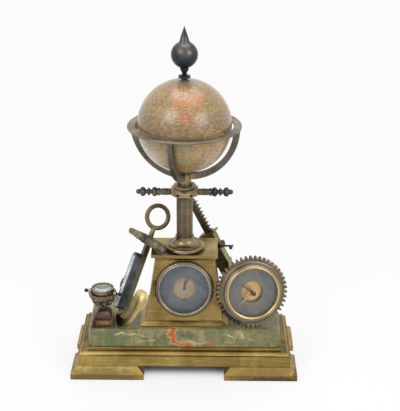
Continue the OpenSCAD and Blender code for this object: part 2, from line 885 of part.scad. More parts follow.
arms_t = 5;
crown_low = 5;
crown_top = 6;
arms_out_z = (fluke_span * fluke_span + fluke_rise * fluke_rise - crown_low * crown_low)
    / (2 * (fluke_rise + crown_low));
arms_out_r = arms_out_z + crown_low;
tip_top = fluke_rise + 2;
tip_in = fluke_span - 1;
arms_in_z = (tip_in * tip_in + tip_top * tip_top - crown_top * crown_top)
    / (2 * (tip_top - crown_top));
arms_in_r = arms_in_z - crown_top;
crown_lift = 6.5;

module on_anchor() {
    translate([anchor_x, anchor_y, slab_z + crown_lift])
        rotate([0, anchor_lean, anchor_turn]) rotate([0, 0, anchor_twist]) children();
}

module on_arms() {
    on_anchor() rotate([0, arms_tilt, 0]) children();
}

module arms_outline(gap) {
    difference() {
        translate([0, arms_out_z]) circle(arms_out_r, $fn = 96);
        translate([0, arms_in_z]) circle(arms_in_r - gap, $fn = 96);
        translate([-60, fluke_rise]) square([120, 60]);
    }
}

module anchor_arms() {
    color(bronze) on_arms() rotate([90, 0, 0])
        linear_extrude(arms_t, center = true) arms_outline(0);
}

shank_foot_w = 9;
shank_head_w = 7;
neck_z = stock_rise + 5;
eye_z = stock_rise + 33.9;

module anchor_shank() {
    color(bronze) on_anchor() difference() {
        union() {
            rotate([90, 0, 0]) linear_extrude(anchor_t, center = true)
                polygon([[-shank_foot_w / 2, 3], [shank_foot_w / 2, 3],
                    [shank_head_w / 2, neck_z], [-shank_head_w / 2, neck_z]]);
            translate([0, 0, neck_z - 1]) cylinder(r1 = 3.5, r2 = 3, h = 14);
        }
        rotate([0, arms_tilt, 0]) rotate([90, 0, 0])
            linear_extrude(anchor_t + 2, center = true) arms_outline(seat);
        translate([0, 0, eye_z]) rotate([0, 90, 0]) rotate_extrude()
            translate([eye_r, 0]) circle(eye_t / 2 + seat);
    }
}

// Half outline of a palm: shares of its half width and of its length from the seat
palm_shape = [[0.5, 0.33], [0.85, 0.24], [1, 0.08], [0.97, -0.06], [0.8, -0.2],
    [0.5, -0.33], [0.25, -0.42]];

module palm_outline() {
    polygon(concat([[0, 0.36 * palm_l]],
        [for (p = palm_shape) [p[0] * palm_half, p[1] * palm_l]],
        [for (i = [len(palm_shape) - 1 : -1 : 0])
            [-palm_shape[i][0] * palm_half, palm_shape[i][1] * palm_l]]));
}

palm_turn = 6;

module anchor_palms() {
    color(brass) on_arms() for (s = [0, 180]) rotate([0, 0, s])
        translate([0, 0, arms_in_z]) intersection() {
            rotate([90, 0, 0]) difference() {
                cylinder(r = arms_in_r - seat, h = 2.4 * palm_half, center = true, $fn = 96);
                cylinder(r = arms_in_r - palm_t, h = 2.6 * palm_half, center = true, $fn = 96);
            }
            rotate([0, -palm_turn, 0]) rotate([90, 0, 90]) linear_extrude(arms_in_r + 5)
                palm_outline();
        }
}

module anchor_stock() {
    slot_w = shank_head_w + 0.6;
    color(bronze) on_anchor() difference() {
        translate([0, -stock_out, stock_rise]) rotate([0, 0, stock_turn])
            rotate([0, 90 + stock_tilt, 0])
            rotate_extrude() polygon([[0, -stock_half], [0.5 * stock_r, -stock_half],
                [0.6 * stock_r, 1.2 - stock_half], [0.9 * stock_r, -10], [stock_r, -5],
                [stock_r, 8], [0.86 * stock_r, stock_half - 1.6], [0.7 * stock_r, stock_half],
                [0, stock_half]]);
        translate([-slot_w / 2, -anchor_t / 2 - seat, stock_rise - 15])
            cube([slot_w, 20, 30]);
    }
}

module anchor_ring() {
    color(bronze) on_anchor() translate([0, 0, eye_z]) rotate([0, 90, 0])
        rotate_extrude() translate([eye_r, 0]) circle(eye_t / 2);
}

scale_z = 22;
tube_y = -anchor_t / 2 - scale_t - tube_r - seat;

module thermometer_plate() {
    color(silvered) on_anchor() difference() {
        translate([0, -anchor_t / 2, scale_z]) rotate([90, 0, 0]) linear_extrude(scale_t) {
            translate([-scale_w / 2, 0]) square([scale_w, scale_l]);
            translate([0, scale_l]) circle(scale_w / 2);
            circle(scale_w / 2);
        }
        translate([0, tube_y, scale_z]) sphere(bulb_r + 0.4);
    }
}

module thermometer_tube() {
    color(glass) on_anchor() translate([0, tube_y, scale_z]) {
        cylinder(r = tube_r, h = scale_l + 2);
        sphere(bulb_r);
        translate([0, 0, scale_l + 2]) sphere(tube_r);
    }
}

// Binnacle compass

pins_z = slab_z + pins_rise;
vault_r = 10.4;
vault_z = slab_z + 13.2;
cup_low = slab_z + 27.6;
cup_rim = pins_z + 1;
cup_flare = 12;
cup_in = compass_r + 1.1;

module at_binnacle() {
    translate([binnacle_x, binnacle_y, 0]) children();
}

module in_cup() {
    translate([binnacle_x, binnacle_y, pins_z]) rotate([0, 0, cup_turn]) children();
}

module vault_section() {
    translate([-vault_r, slab_z + 10.8]) square([2 * vault_r, vault_z - slab_z - 10.8]);
    intersection() {
        translate([0, vault_z]) circle(vault_r);
        translate([-vault_r, vault_z]) square([2 * vault_r, vault_r]);
    }
}

module binnacle_stand() {
    w = binnacle_w;
    neck_top = cup_low + 1;
    color(bronze) at_binnacle() difference() {
        union() {
            translate([-w / 2, -w / 2, slab_z]) cube([w, w, 2.6]);
            translate([-w / 2 + 1.6, -w / 2 + 1.6, slab_z + 2]) cube([w - 3.2, w - 3.2, 8.8]);
            intersection() {
                rotate([90, 0, 0]) linear_extrude(w, center = true) vault_section();
                rotate([90, 0, 90]) linear_extrude(w, center = true) vault_section();
            }
            translate([0, 0, vault_z]) cylinder(r = 4.8, h = cup_low - vault_z);
            translate([0, 0, cup_low - 2.2]) cylinder(r = 6.2, h = 1.4);
        }
        translate([-8.1, -w / 2 + 1, slab_z + 4]) cube([16.2, 1.4, 5.4]);
        translate([0, 0, neck_top - 8]) cylinder(r = 2.2, h = 12);
    }
}

module cup_body() {
    rim = cup_rim - pins_z;
    low = cup_low - pins_z;
    wall_r = cup_r - 0.4;
    rotate_extrude() polygon([[0, low], [7.6, low], [wall_r - 0.8, low + cup_flare],
        [wall_r, low + cup_flare + 2], [wall_r, rim - 2.4], [wall_r + 0.8, rim - 1.6],
        [wall_r + 0.8, rim], [0, rim]]);
}

module binnacle_cup() {
    ear_in = compass_r + 1.2;
    color(brass) in_cup() difference() {
        union() {
            cup_body();
            for (s = [-1, 1]) translate([s * (ear_in + 1.5), 0, 0]) {
                translate([-1.5, -3.4, cup_rim - pins_z - 4]) cube([3, 6.8, 4]);
                rotate([0, 90, 0]) cylinder(r = 3.4, h = 3, center = true);
                translate([-1.5, -3.4, -4]) cube([3, 6.8, 4]);
            }
        }
        sphere(cup_in);
        translate([0, 0, -8]) cylinder(r = cup_in - 3.6, h = 12);
        rotate([0, 90, 0]) cylinder(r = 1 + 0.05, h = 60, center = true);
        translate([0, 0, cup_low - pins_z - 1]) cylinder(r = 2.2, h = 6);
    }
}

module gimbal_pins() {
    color(steel) in_cup() for (s = [0, 180]) rotate([0, 0, s]) {
        translate([compass_r - 1.2, 0, 0]) rotate([0, 90, 0])
            cylinder(r = 1, h = pin_reach - compass_r);
        translate([compass_r + 4.3, 0, 0]) rotate([0, 90, 0]) cylinder(r = 1.7, h = 1);
        translate([pin_reach, 0, 0]) sphere(2.6);
    }
}

bowl_top = 7.4;
bowl_wall = 1.6;

module compass_bowl() {
    color(brass) in_cup() difference() {
        rotate_extrude() difference() {
            union() {
                intersection() {
                    circle(compass_r);
                    translate([0, -compass_r]) square([compass_r, compass_r]);
                }
                square([compass_r, bowl_top]);
            }
            translate([0, -3]) square([compass_r - bowl_wall, bowl_top + 4]);
            translate([0, bowl_top - 2]) square([compass_r - 0.8, 4]);
        }
        rotate([0, 90, 0]) cylinder(r = 1 + run, h = 60, center = true);
    }
    color(brass) in_cup() translate([0, 0, -3.4]) cylinder(r1 = 1.4, r2 = 0.6, h = 5.4);
}

module compass_card() {
    color(silvered) in_cup() difference() {
        union() {
            translate([0, 0, 1.6]) cylinder(r = compass_r - bowl_wall - 0.8, h = 0.5);
            translate([0, 0, 1.6]) cylinder(r = 1.8, h = 2);
            for (a = [0, 180]) rotate([0, 0, a]) translate([0, 0, 2.1]) linear_extrude(0.5)
                polygon([[-1.3, 0], [1.3, 0], [0, compass_r - bowl_wall - 1.6]]);
        }
        cylinder(r = 0.6 + 0.25, h = 2.4);
    }
}

module compass_glass() {
    dome_r = 34;
    color(glass) in_cup() translate([0, 0, bowl_top - 2]) rotate_extrude() intersection() {
        square([compass_r - 0.8 - seat, 5]);
        translate([0, 4.2 - dome_r]) circle(dome_r, $fn = 128);
    }
}

// Toothed wheel and barometer, in the frame of the wheel's face: Z towards the viewer

wheel_z = slab_z + wheel_r * cos(wheel_lean) + wheel_t * sin(wheel_lean) + seat;
case_r = 34;
case_in = case_r - 1.4;
rim_r = case_r + seat;
case_back = -baro_depth;
baro_bezel_h = 7;
baro_glass_z = 4.8;
baro_plate_z = -6;
knob_r = 3;

module on_wheel() {
    translate([wheel_x, wheel_y, wheel_z]) rotate([0, 0, wheel_turn])
        rotate([90 - wheel_lean, 0, 0]) children();
}

function ring_point(r, a) = [r * cos(a), r * sin(a)];

// Outline of a spur wheel whose teeth narrow towards their tips, with one tooth straight down
function spur_outline(tip, root, count) = [for (i = [0 : count - 1], k = [0 : 3])
    let (step = 360 / count, middle = -90 + i * step,
        edge = [-0.30, -0.17, 0.17, 0.30][k], r = [root, tip, tip, root][k])
    ring_point(r, middle + edge * step)];

module gear_wheel() {
    color(brass) on_wheel() translate([0, 0, -wheel_t]) difference() {
        linear_extrude(wheel_t) polygon(spur_outline(wheel_r, wheel_r - tooth_h, tooth_n));
        translate([0, 0, -1]) cylinder(r = rim_r, h = wheel_t + 2, $fn = 96);
    }
}

stay_foot_y = 30;

// Back strut from the middle of the case down to the slab, like an easel's leg
module wheel_stay() {
    strut_w = 9;
    color(bronze) intersection() {
        on_wheel() translate([-strut_w / 2, -62, case_back - 3]) union() {
            translate([0, 49, 0]) cube([strut_w, 26, 3 - seat / 2]);
            translate([1, 52, -1.6]) rotate([152, 0, 0]) translate([0, 0, -3])
                cube([strut_w - 2, 3, 70]);
        }
        translate([-base_w / 2, -base_d / 2, slab_z + seat / 2]) cube([base_w, base_d, 100]);
    }
}

module barometer_case() {
    color(brass) on_wheel() difference() {
        union() {
            translate([0, 0, case_back]) cylinder(r = case_r, h = baro_depth, $fn = 96);
            cylinder(r = case_r + 2, h = 1, $fn = 96);
        }
        translate([0, 0, case_back + 1.5]) cylinder(r = case_in, h = baro_depth - 2.5, $fn = 96);
        translate([0, 0, -2]) cylinder(r = case_in - 2, h = 5, $fn = 96);
        cylinder(r = case_in, h = 3, $fn = 96);
    }
}

capsule_r = 0.625 * baro_dial_r;
capsule_h = 0.27 * baro_depth;

module aneroid_capsule() {
    wave = 0.5;
    color(silvered) on_wheel() translate([0, 0, case_back + 1.5]) difference() {
        rotate_extrude() difference() {
            square([capsule_r, capsule_h]);
            for (n = [1 : 4]) translate([(0.1 + 0.2 * n) * capsule_r, capsule_h])
                circle(wave, $fn = 16);
        }
        translate([0, 0, 1]) cylinder(r = 1, h = capsule_h);
    }
}

module barometer_plate() {
    post_r = 26;
    color(gilt) on_wheel() difference() {
        union() {
            translate([0, 0, baro_plate_z]) cylinder(r = case_in - seat, h = 1);
            for (a = [90 : 120 : 330]) rotate([0, 0, a])
                translate([post_r, 0, case_back + 1.5])
                    cylinder(r = 1.5, h = baro_plate_z - case_back - 1.5);
        }
        translate([0, 0, baro_plate_z - 1]) cylinder(r = 0.8 + run, h = 3);
    }
}

module barometer_dial() {
    color(silvered) on_wheel() difference() {
        cylinder(r = case_in - seat, h = 1, $fn = 96);
        translate([0, 0, -1]) cylinder(r = baro_hole_r, h = 3);
    }
}

module barometer_hand() {
    color(steel) on_wheel() {
        translate([0, 0, case_back + 4]) cylinder(r = 0.8, h = 2.6 - case_back - 4);
        translate([0, 0, 2]) rotate([0, 0, 53]) linear_extrude(0.4)
            hand_outline(baro_dial_r * 0.56, 0.8, 0.5);
        translate([0, 0, 2]) rotate([0, 0, 233]) linear_extrude(0.4)
            hand_outline(baro_dial_r * 0.16, 0.9, 1.2);
        translate([0, 0, 1.8]) cylinder(r = 2, h = 0.8);
    }
}

module set_hand() {
    color(gilt) on_wheel() {
        translate([0, 0, 3.4]) rotate([0, 0, 129]) linear_extrude(0.4)
            hand_outline(baro_dial_r * 0.72, 0.8, 0.6);
        translate([0, 0, 3.2]) cylinder(r = 2, h = 0.8);
        translate([0, 0, 3.6]) cylinder(r = 1, h = 4);
        translate([0, 0, baro_glass_z + 1.3]) rotate_extrude()
            polygon([[0, 0], [1.6, 0], [1.6, 1], [knob_r, 1.8], [knob_r, 4.6], [2.2, 5.4],
                [0, 5.4]]);
    }
}

module barometer_glass() {
    color(glass) on_wheel() translate([0, 0, baro_glass_z]) difference() {
        cylinder(r = baro_dial_r + 0.9, h = 1, $fn = 96);
        translate([0, 0, -1]) cylinder(r = 1 + run, h = 3);
    }
}

module barometer_bezel() {
    color(brass) on_wheel() bezel_ring(baro_bezel_r, baro_dial_r, 1, baro_bezel_h + 0.4,
        baro_glass_z, baro_glass_z + 1, baro_dial_r + 0.9);
}

// Rack jack, in its own frame: Z up the case, X across it, Y to its rear

module on_jack() {
    translate([jack_x, jack_y, slab_z]) rotate([0, -jack_lean, -jack_turn]) children();
}

case_left = -9.5;
case_right = case_left + jack_w;
rack_left = -3.7;
rack_back_w = 7.5;
rack_tooth_h = 3;
rack_t = 7;
addendum = 1.5;
pinion_pitch_r = pinion_n * rack_pitch / 360 * 180 / PI;
pinion_x = rack_left + rack_back_w + rack_tooth_h - addendum + pinion_pitch_r;
pinion_tip_r = pinion_pitch_r + 1.2;
pinion_root_r = pinion_pitch_r - addendum - 0.3;
pinion_z = jack_len - 20;
gear_room = pinion_tip_r + 0.5;
rack_low = 40;
rack_high = jack_len + 53;
top_plate_t = 2.4;
shaft_r = 1.5;

module jack_shell(grow, low, high) {
    translate([case_left - grow, -jack_d / 2 - grow, low])
        cube([jack_w + 2 * grow, jack_d + 2 * grow, high - low]);
}

// Ears of the case's front and rear walls, which carry the pinion's shaft
module jack_ears() {
    ear_r = 3.4;
    for (y = [-jack_d / 2, jack_d / 2 - jack_wall]) {
        translate([case_right - 2, y, pinion_z - ear_r])
            cube([pinion_x - case_right + 2, jack_wall, 2 * ear_r]);
        translate([pinion_x, y + jack_wall, pinion_z]) rotate([90, 0, 0])
            cylinder(r = ear_r, h = jack_wall);
    }
}

module jack_case() {
    foot_w = 30;
    foot_d = 18;
    color(bronze) {
        difference() {
            intersection() {
                on_jack() {
                    jack_shell(0, -20, jack_len);
                    jack_ears();
                }
                translate([-base_w / 2, -base_d, slab_z])
                    cube([base_w, 2 * base_d, 200]);
            }
            on_jack() jack_shell(-jack_wall, 12, jack_len + 2);
            on_jack() translate([pinion_x, 0, pinion_z]) rotate([90, 0, 0]) {
                cylinder(r = gear_room, h = jack_d - 2 * jack_wall, center = true);
                cylinder(r = shaft_r + run, h = 60, center = true);
            }
        }
        difference() {
            translate([jack_x - foot_w / 2, jack_y - foot_d / 2 - 1, slab_z])
                cube([foot_w, foot_d, 3]);
            on_jack() jack_shell(-jack_wall, 12, jack_len);
        }
        on_jack() translate([case_left - 1, -jack_d / 2 - 1, jack_len * 0.55])
            difference() {
                cube([jack_w + 2, jack_d + 2, 5]);
                translate([1.5, 1.5, -1]) cube([jack_w - 1, jack_d - 1, 7]);
            }
    }
}

module jack_top_plate() {
    lip = 2.6;
    color(bronze) on_jack() difference() {
        translate([case_left - lip, -jack_d / 2 - 1.6, jack_len])
            cube([jack_w + 2 * lip + 1.4, jack_d + 3.2, top_plate_t]);
        translate([rack_left - 0.3, -rack_t / 2 - 0.3, jack_len - 1])
            cube([rack_back_w + rack_tooth_h + 0.6, rack_t + 0.6, top_plate_t + 2]);
    }
}

// The rack's teeth are thin and widely spaced, so the pinion's teeth turn freely between them
module jack_rack() {
    root = 0.24 * rack_pitch;
    tip = 0.11 * rack_pitch;
    back = rack_left + rack_back_w;
    first = pinion_z + rack_pitch / 2;
    down = floor((first - rack_low - 3) / rack_pitch);
    color(bronze) on_jack() rotate([90, 0, 0]) linear_extrude(rack_t, center = true) {
        translate([rack_left, rack_low]) square([rack_back_w, rack_high - rack_low]);
        for (i = [0 : rack_n]) translate([back - 0.01, first + (i - down) * rack_pitch])
            polygon([[0, -root], [rack_tooth_h, -tip], [rack_tooth_h, tip], [0, root]]);
    }
}

module pinion_outline() {
    half = 0.85;
    tip = 0.5;
    difference() {
        union() {
            circle(pinion_root_r);
            for (i = [0 : pinion_n - 1]) rotate(180 + i * 360 / pinion_n)
                polygon([[0, -half - 0.2], [pinion_pitch_r, -half], [pinion_tip_r, -tip],
                    [pinion_tip_r, tip], [pinion_pitch_r, half], [0, half + 0.2]]);
        }
        circle(shaft_r + 0.02);
    }
}

module jack_pinion() {
    color(steel) on_jack() translate([pinion_x, 0, pinion_z]) rotate([90, 0, 0])
        linear_extrude(rack_t - 0.4, center = true) pinion_outline();
}

module jack_crank() {
    arm_z = jack_d / 2 + 1.2;
    handle = 6;
    color(steel) on_jack() translate([pinion_x, 0, pinion_z]) rotate([90, 0, 0])
        rotate([0, 0, crank_rest - jack_lean]) {
            translate([0, 0, -jack_d / 2 - 1.5]) cylinder(r = shaft_r, h = jack_d + 5.5);
            translate([0, 0, -jack_d / 2 - 1.7]) cylinder(r = 2.4, h = 1.4);
            translate([0, 0, arm_z - 0.6]) cylinder(r = 2.8, h = 3);
            translate([0, 0, arm_z + 1]) rotate([0, 90, 0]) cylinder(r = 1.3, h = crank_len);
            translate([crank_len, 0, arm_z - 0.2]) cylinder(r = 1.5, h = handle);
            translate([crank_len, 0, arm_z + 1.2 + handle]) sphere(2.6);
        }
}

bracket_feet();
base_moulding();
base_board();
onyx_slab();
base_bolts();
pedestal_plinth();
pedestal_body();
pedestal_cap();
rear_cover();
movement_drum();
movement_frame();
spring_barrel();
centre_arbor();
winding_arbor();
clock_dial();
clock_centre();
hour_hand();
minute_hand();
clock_bezel();
clock_glass();
bezel_hinge();
column_foot();
screw_column();
capstan_head();
capstan_bars();
globe_arms();
horizon_ring();
globe_spindle();
globe_north();
globe_south();
finial_collar();
finial();
anchor_shank();
anchor_arms();
anchor_palms();
anchor_stock();
anchor_ring();
thermometer_plate();
thermometer_tube();
binnacle_stand();
binnacle_cup();
gimbal_pins();
compass_bowl();
compass_card();
compass_glass();
gear_wheel();
wheel_stay();
barometer_case();
aneroid_capsule();
barometer_plate();
barometer_dial();
barometer_hand();
set_hand();
barometer_glass();
barometer_bezel();
jack_case();
jack_top_plate();
jack_rack();
jack_pinion();
jack_crank();
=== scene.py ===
"""Dresses the globe clock: a brass and onyx desk instrument with a globe, clock, barometer,
compass, anchor thermometer and rack jack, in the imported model's own frame. Finishes are placed in
metres, meshes are given in millimetres, and colours are 0xRRGGBB as a display shows them."""

import logging
import math
from dataclasses import dataclass, field
from enum import Enum
from typing import Callable, Sequence

import bmesh
import bpy
import numpy as np
from mathutils import Matrix, Vector, noise


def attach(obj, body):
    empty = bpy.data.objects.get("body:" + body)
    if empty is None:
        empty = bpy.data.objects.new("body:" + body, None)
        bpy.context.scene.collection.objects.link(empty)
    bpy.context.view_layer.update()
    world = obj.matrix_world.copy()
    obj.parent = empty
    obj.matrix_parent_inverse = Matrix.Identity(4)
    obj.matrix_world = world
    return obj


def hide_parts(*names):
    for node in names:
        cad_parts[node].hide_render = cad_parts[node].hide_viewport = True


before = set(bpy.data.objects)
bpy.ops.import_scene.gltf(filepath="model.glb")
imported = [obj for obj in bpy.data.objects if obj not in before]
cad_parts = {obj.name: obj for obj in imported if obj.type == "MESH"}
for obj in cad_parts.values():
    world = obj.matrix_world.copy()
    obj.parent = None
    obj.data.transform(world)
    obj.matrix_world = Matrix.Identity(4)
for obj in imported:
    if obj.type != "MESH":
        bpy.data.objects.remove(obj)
log = logging.getLogger("globe_clock")

Material, Mesh, Node, Socket = (bpy.types.Material, bpy.types.Mesh, bpy.types.Node,
                                bpy.types.NodeSocket)
Point = tuple[float, float, float]
Line = tuple[tuple[float, float], ...]
Bands = tuple[tuple[float, int], ...]
Value = Node | Socket | Material | Sequence[float] | float | str | None

MM = 0.001
ORIGIN = (0, 0, 0)
WORN_EDGE = 0.0009
SEAM_REACH = (0.0009, 0.0002)
WIDE_BLOT = 0.04
RING_STEPS = 160
CAPITAL_SHARE = 0.72
WHITE = (0.965, 0.965, 0.962, 1)


def linear(code: int, share: float = 1.0) -> tuple[float, ...]:
    """Turns a display colour into the linear one that shaders take.

    Args:
        code: The colour, 0xRRGGBB.
        share: How much of its light is left.

    Returns:
        The linear colour with full alpha.
    """
    parts = [(code >> shift & 255) / 255 for shift in (16, 8, 0)]
    return tuple(share * (part / 12.92 if part <= 0.04045 else ((part + 0.055) / 1.055) ** 2.4)
                 for part in parts) + (1,)


# Node trees


class Graph:
    """A node tree with short ways to add nodes."""

    def __init__(self, tree: bpy.types.NodeTree) -> None:
        """Empties the tree and starts on it."""
        tree.nodes.clear()
        self.tree = tree

    def fill(self, target: Socket, item: Value) -> None:
        """Links or sets an input.

        Args:
            target: The input.
            item: A node, socket or value, a whole number for a colour, or None to leave it.
        """
        if isinstance(item, Node):
            item = next(output for output in item.outputs if output.enabled)
        if isinstance(item, Socket):
            self.tree.links.new(item, target)
        elif item is not None:
            is_code = target.type == "RGBA" and isinstance(item, int)
            target.default_value = linear(item) if is_code else item

    def add(self, kind: str, *items: Value, **named: Value) -> Node:
        """Adds a node.

        Args:
            kind: Its type.
            items: What its first inputs take.
            named: Its settings, in small letters, and other inputs with underscores for spaces.

        Returns:
            The node.
        """
        node = self.tree.nodes.new(kind)
        for key, item in named.items():
            if key.islower():
                setattr(node, key, item)
            else:
                self.fill(node.inputs[key.replace("_", " ")], item)
        for target, item in zip(node.inputs, items):
            self.fill(target, item)
        return node

    def maths(self, step: str, *items: Value) -> Node:
        """One Math node."""
        return self.add("ShaderNodeMath", *items, operation=step)

    def times(self, *items: Value) -> Node:
        """Two values multiplied."""
        return self.maths("MULTIPLY", *items)

    def in_view(self) -> Node:
        """1 for rays of the camera, of mirrors and of glass, 0 for light that falls on things.

        Returns:
            The value.
        """
        rays = self.add("ShaderNodeLightPath").outputs
        mirrored = self.maths("MAXIMUM", rays["Is Glossy Ray"], rays["Is Transmission Ray"])
        return self.maths("MAXIMUM", rays["Is Camera Ray"], mirrored)


class Shading(Graph):
    """A material's node tree with what the finishes share."""

    def __init__(self, name: str) -> None:
        """Starts an empty material.

        Args:
            name: Its name.
        """
        self.material = bpy.data.materials.new(name)
        self.material.use_nodes = True
        super().__init__(self.material.node_tree)
        self.output = self.add("ShaderNodeOutputMaterial")
        self.here = self.add("ShaderNodeTexCoord").outputs["Object"]

    def place(self, centre: Sequence[float] = ORIGIN, turn: Sequence[float] = ORIGIN,
              scale: Sequence[float] = (1, 1, 1)) -> Node:
        """Object coordinates seen from a centre.

        Args:
            centre: The point that becomes zero, in metres.
            turn: Rotation in degrees about X, Y and Z.
            scale: Stretch along each axis after the turn.

        Returns:
            The place.
        """
        shift = self.add("ShaderNodeMapping", self.here, [-value for value in centre])
        spin = [math.radians(value) for value in turn]
        return self.add("ShaderNodeMapping", shift, None, spin, scale)

    def axes(self, place: Value) -> Sequence[Socket]:
        """A place's X, Y and Z."""
        return self.add("ShaderNodeSeparateXYZ", place).outputs

    def hypot(self, first: Value, second: Value) -> Node:
        """The length of two sides at right angles."""
        squares = (self.maths("POWER", side, 2) for side in (first, second))
        return self.maths("SQRT", self.maths("ADD", *squares))

    def clouds(self, scale: float, detail: float = 4.0, rough: float = 0.55, warp: float = 0.0,
               place: Value = None) -> Node:
        """Noise from 0 to 1 on Object coordinates or a given place."""
        return self.add("ShaderNodeTexNoise", place or self.here, Scale=scale, Detail=detail,
                        Roughness=rough, Distortion=warp)

    def bent(self, place: Value, scale: float, reach: Point) -> Node:
        """A place pushed about by noise.

        Args:
            place: The place.
            scale: The noise's scale.
            reach: How far it pushes along each axis, in metres.

        Returns:
            The new place.
        """
        tint = self.add("ShaderNodeTexNoise", self.here, Scale=scale, Detail=4)
        drift = self.vectors("SUBTRACT", tint.outputs["Color"], (0.5, 0.5, 0.5))
        return self.vectors("MULTIPLY_ADD", drift, reach, place)

    def ramp(self, value: Value, stops: Bands) -> Node:
        """A colour ramp.

        Args:
            value: What it runs over.
            stops: Places from 0 to 1 with their colours, in order.

        Returns:
            The colour.
        """
        node = self.add("ShaderNodeValToRGB", value)
        marks = node.color_ramp.elements
        while len(marks) < len(stops):
            marks.new(0.5)
        for mark, (position, code) in zip(marks, stops):
            mark.position = position
            mark.color = linear(code)
        return node

    def span(self, value: Value, low: float, high: float, least: float = 0.0,
             most: float = 1.0) -> Node:
        """Maps a value's range to another, clamped and smooth."""
        return self.add("ShaderNodeMapRange", value, low, high, least, most,
                        interpolation_type="SMOOTHSTEP")

    def blend(self, share: Value, first: Value, second: Value) -> Node:
        """Mixes two colours.

        Args:
            share: How much of the second.
            first: The first colour.
            second: The second colour.

        Returns:
            The mixed colour.
        """
        node = self.add("ShaderNodeMix", share, data_type="RGBA")
        for target, item in zip(node.inputs[6:8], (first, second)):
            self.fill(target, item)
        return node

    def layers(self, under: Value, *rows: tuple[Value, ...]) -> Node:
        """Lays colours over one another, each as far as a value goes from low to high.

        Args:
            under: The lowest colour.
            rows: The value, low, high, least and most share and colour of each layer.

        Returns:
            The colour on top.
        """
        for value, low, high, least, most, colour in rows:
            under = self.blend(self.span(value, low, high, least, most), under, colour)
        return under

    def vectors(self, step: str, *items: Value, **named: Value) -> Node:
        """One Vector Math node."""
        return self.add("ShaderNodeVectorMath", *items, operation=step, **named)

    def stroke(self, place: Value, points: Line) -> Node:
        """How far a place is from a line in the XZ plane.

        Args:
            place: The place.
            points: The line's points, in millimetres.

        Returns:
            The distance in metres.
        """
        nearest = None
        for (x0, z0), (x1, z1) in zip(points, points[1:]):
            run = Vector((x1 - x0, 0, z1 - z0)) * MM
            away = self.vectors("SUBTRACT", place, (x0 * MM, 0, z0 * MM))
            share = self.vectors("DOT_PRODUCT", away, run / run.length_squared)
            share = self.maths("MINIMUM", self.maths("MAXIMUM", share, 0), 1)
            gap = self.vectors("DISTANCE", away, self.vectors("SCALE", run, Scale=share))
            nearest = self.maths("MINIMUM", nearest, gap) if nearest else gap
        return nearest

    def blot(self, centre: Point, reach: Point, ragged: Value, most: float) -> Node:
        """A ragged spot inside an ellipsoid.

        Args:
            centre: Its centre, in metres.
            reach: Its half sizes, in metres.
            ragged: Noise that breaks its edge up.
            most: How strong it is at most.

        Returns:
            The share, from 0 outside.
        """
        near = self.vectors("LENGTH", self.place(centre, scale=[1 / value for value in reach]))
        rough, core = (0.12, 0.6) if max(reach) > WIDE_BLOT else (0.35, 0.75)
        edge = self.maths("ADD", near, self.span(ragged, 0.3, 0.7, rough, -rough))
        return self.span(edge, 1, core, 0, most)

    def bump(self, height: Value, distance: float, strength: float = 0.6) -> Node:
        """A bumped normal from a height from 0 to 1 and its depth in metres."""
        return self.add("ShaderNodeBump", Strength=strength, Distance=distance, Height=height)

    def end(self, shader: Node) -> Material:
        """Ends the tree in a shader and gives its material."""
        self.fill(self.output.inputs["Surface"], shader)
        return self.material

    def surface(self, **inputs: Value) -> Material:
        """Ends the tree in a Principled shader and gives its material."""
        return self.end(self.add("ShaderNodeBsdfPrincipled", **inputs))


# Finishes


@dataclass(frozen=True)
class Finish:
    """A finish with its material's name."""

    name: str

    def make(self) -> Material:
        """Builds the material."""
        raise NotImplementedError


@dataclass(frozen=True)
class AgedMetal(Finish):
    """Old lacquered brass or bronze: mottled patina, darker bands at given seam heights, worn
    bright at edges.
    """

    light: int
    dark: int
    worn: int
    mottle: float = 60.0
    roughness: float = 0.42
    wear: float = 0.7
    grain: float = 0.00005
    stain: float = 0.5
    seams: tuple[float, ...] = ()
    blots: tuple[tuple[Point, Point, int], ...] = ()
    brush: Point = (26, 26, 620)

    def make(self) -> Material:
        """Builds the material.

        Returns:
            The patinated metal.
        """
        shade = Shading(self.name)
        broad = shade.clouds(self.mottle * 0.35, 5, 0.6, 0.4)
        fine = shade.clouds(self.mottle * 3.2, 6, 0.65)
        pores = shade.clouds(self.mottle * 16, 3, 0.6)
        specks = shade.clouds(self.mottle * 5.5, 2, 0.5, 0.3)
        streaks = shade.clouds(1, 4, 0.6, 0.4, shade.place(scale=self.brush))
        colour = shade.layers(self.light, (broad, 0.34, 0.68, 0, 1, self.dark),
                              (fine, 0.56, 0.78, 0, self.stain, self.dark),
                              (streaks, 0.5, 0.74, 0, 0.4, self.dark),
                              (streaks, 0.46, 0.26, 0, 0.35, self.worn))
        bevel = shade.add("ShaderNodeBevel", WORN_EDGE, samples=6)
        flat = shade.add("ShaderNodeNewGeometry").outputs["Normal"]
        edge = shade.span(shade.vectors("DOT_PRODUCT", bevel, flat), 0.995, 0.86)
        rubbed = shade.times(edge, shade.span(fine, 0.32, 0.62, 0.25, 1))
        colour = shade.blend(shade.times(rubbed, self.wear), colour, self.worn)
        near_black = linear(self.dark, 0.22)
        colour = shade.layers(colour, (specks, 0.685, 0.74, 0, 0.8 * self.stain, near_black))
        # Blots: stains and patches of the metal, and on the feet, the gear's teeth and the anchor
        # painted shade, as noted where they are listed.
        for centre, reach, stain in self.blots:
            colour = shade.blend(shade.blot(centre, reach, fine, 0.9), colour, stain)
        # Darker bands along the listed seam heights.
        for seam in self.seams:
            away = shade.maths("ABSOLUTE", shade.maths("SUBTRACT", shade.axes(shade.here)["Z"],
                                                       seam * MM))
            seam_darkening = shade.times(shade.span(away, *SEAM_REACH, 0, 0.65),
                                shade.span(broad, 0.25, 0.6, 0.25, 1))
            colour = shade.blend(seam_darkening, colour, near_black)
        gloss = shade.span(fine, 0.3, 0.7, self.roughness - 0.08, self.roughness + 0.13)
        relief = shade.maths("ADD", shade.times(pores, 0.5), fine)
        return shade.surface(Base_Color=colour, Metallic=1, Roughness=gloss,
                             Normal=shade.bump(relief, self.grain))


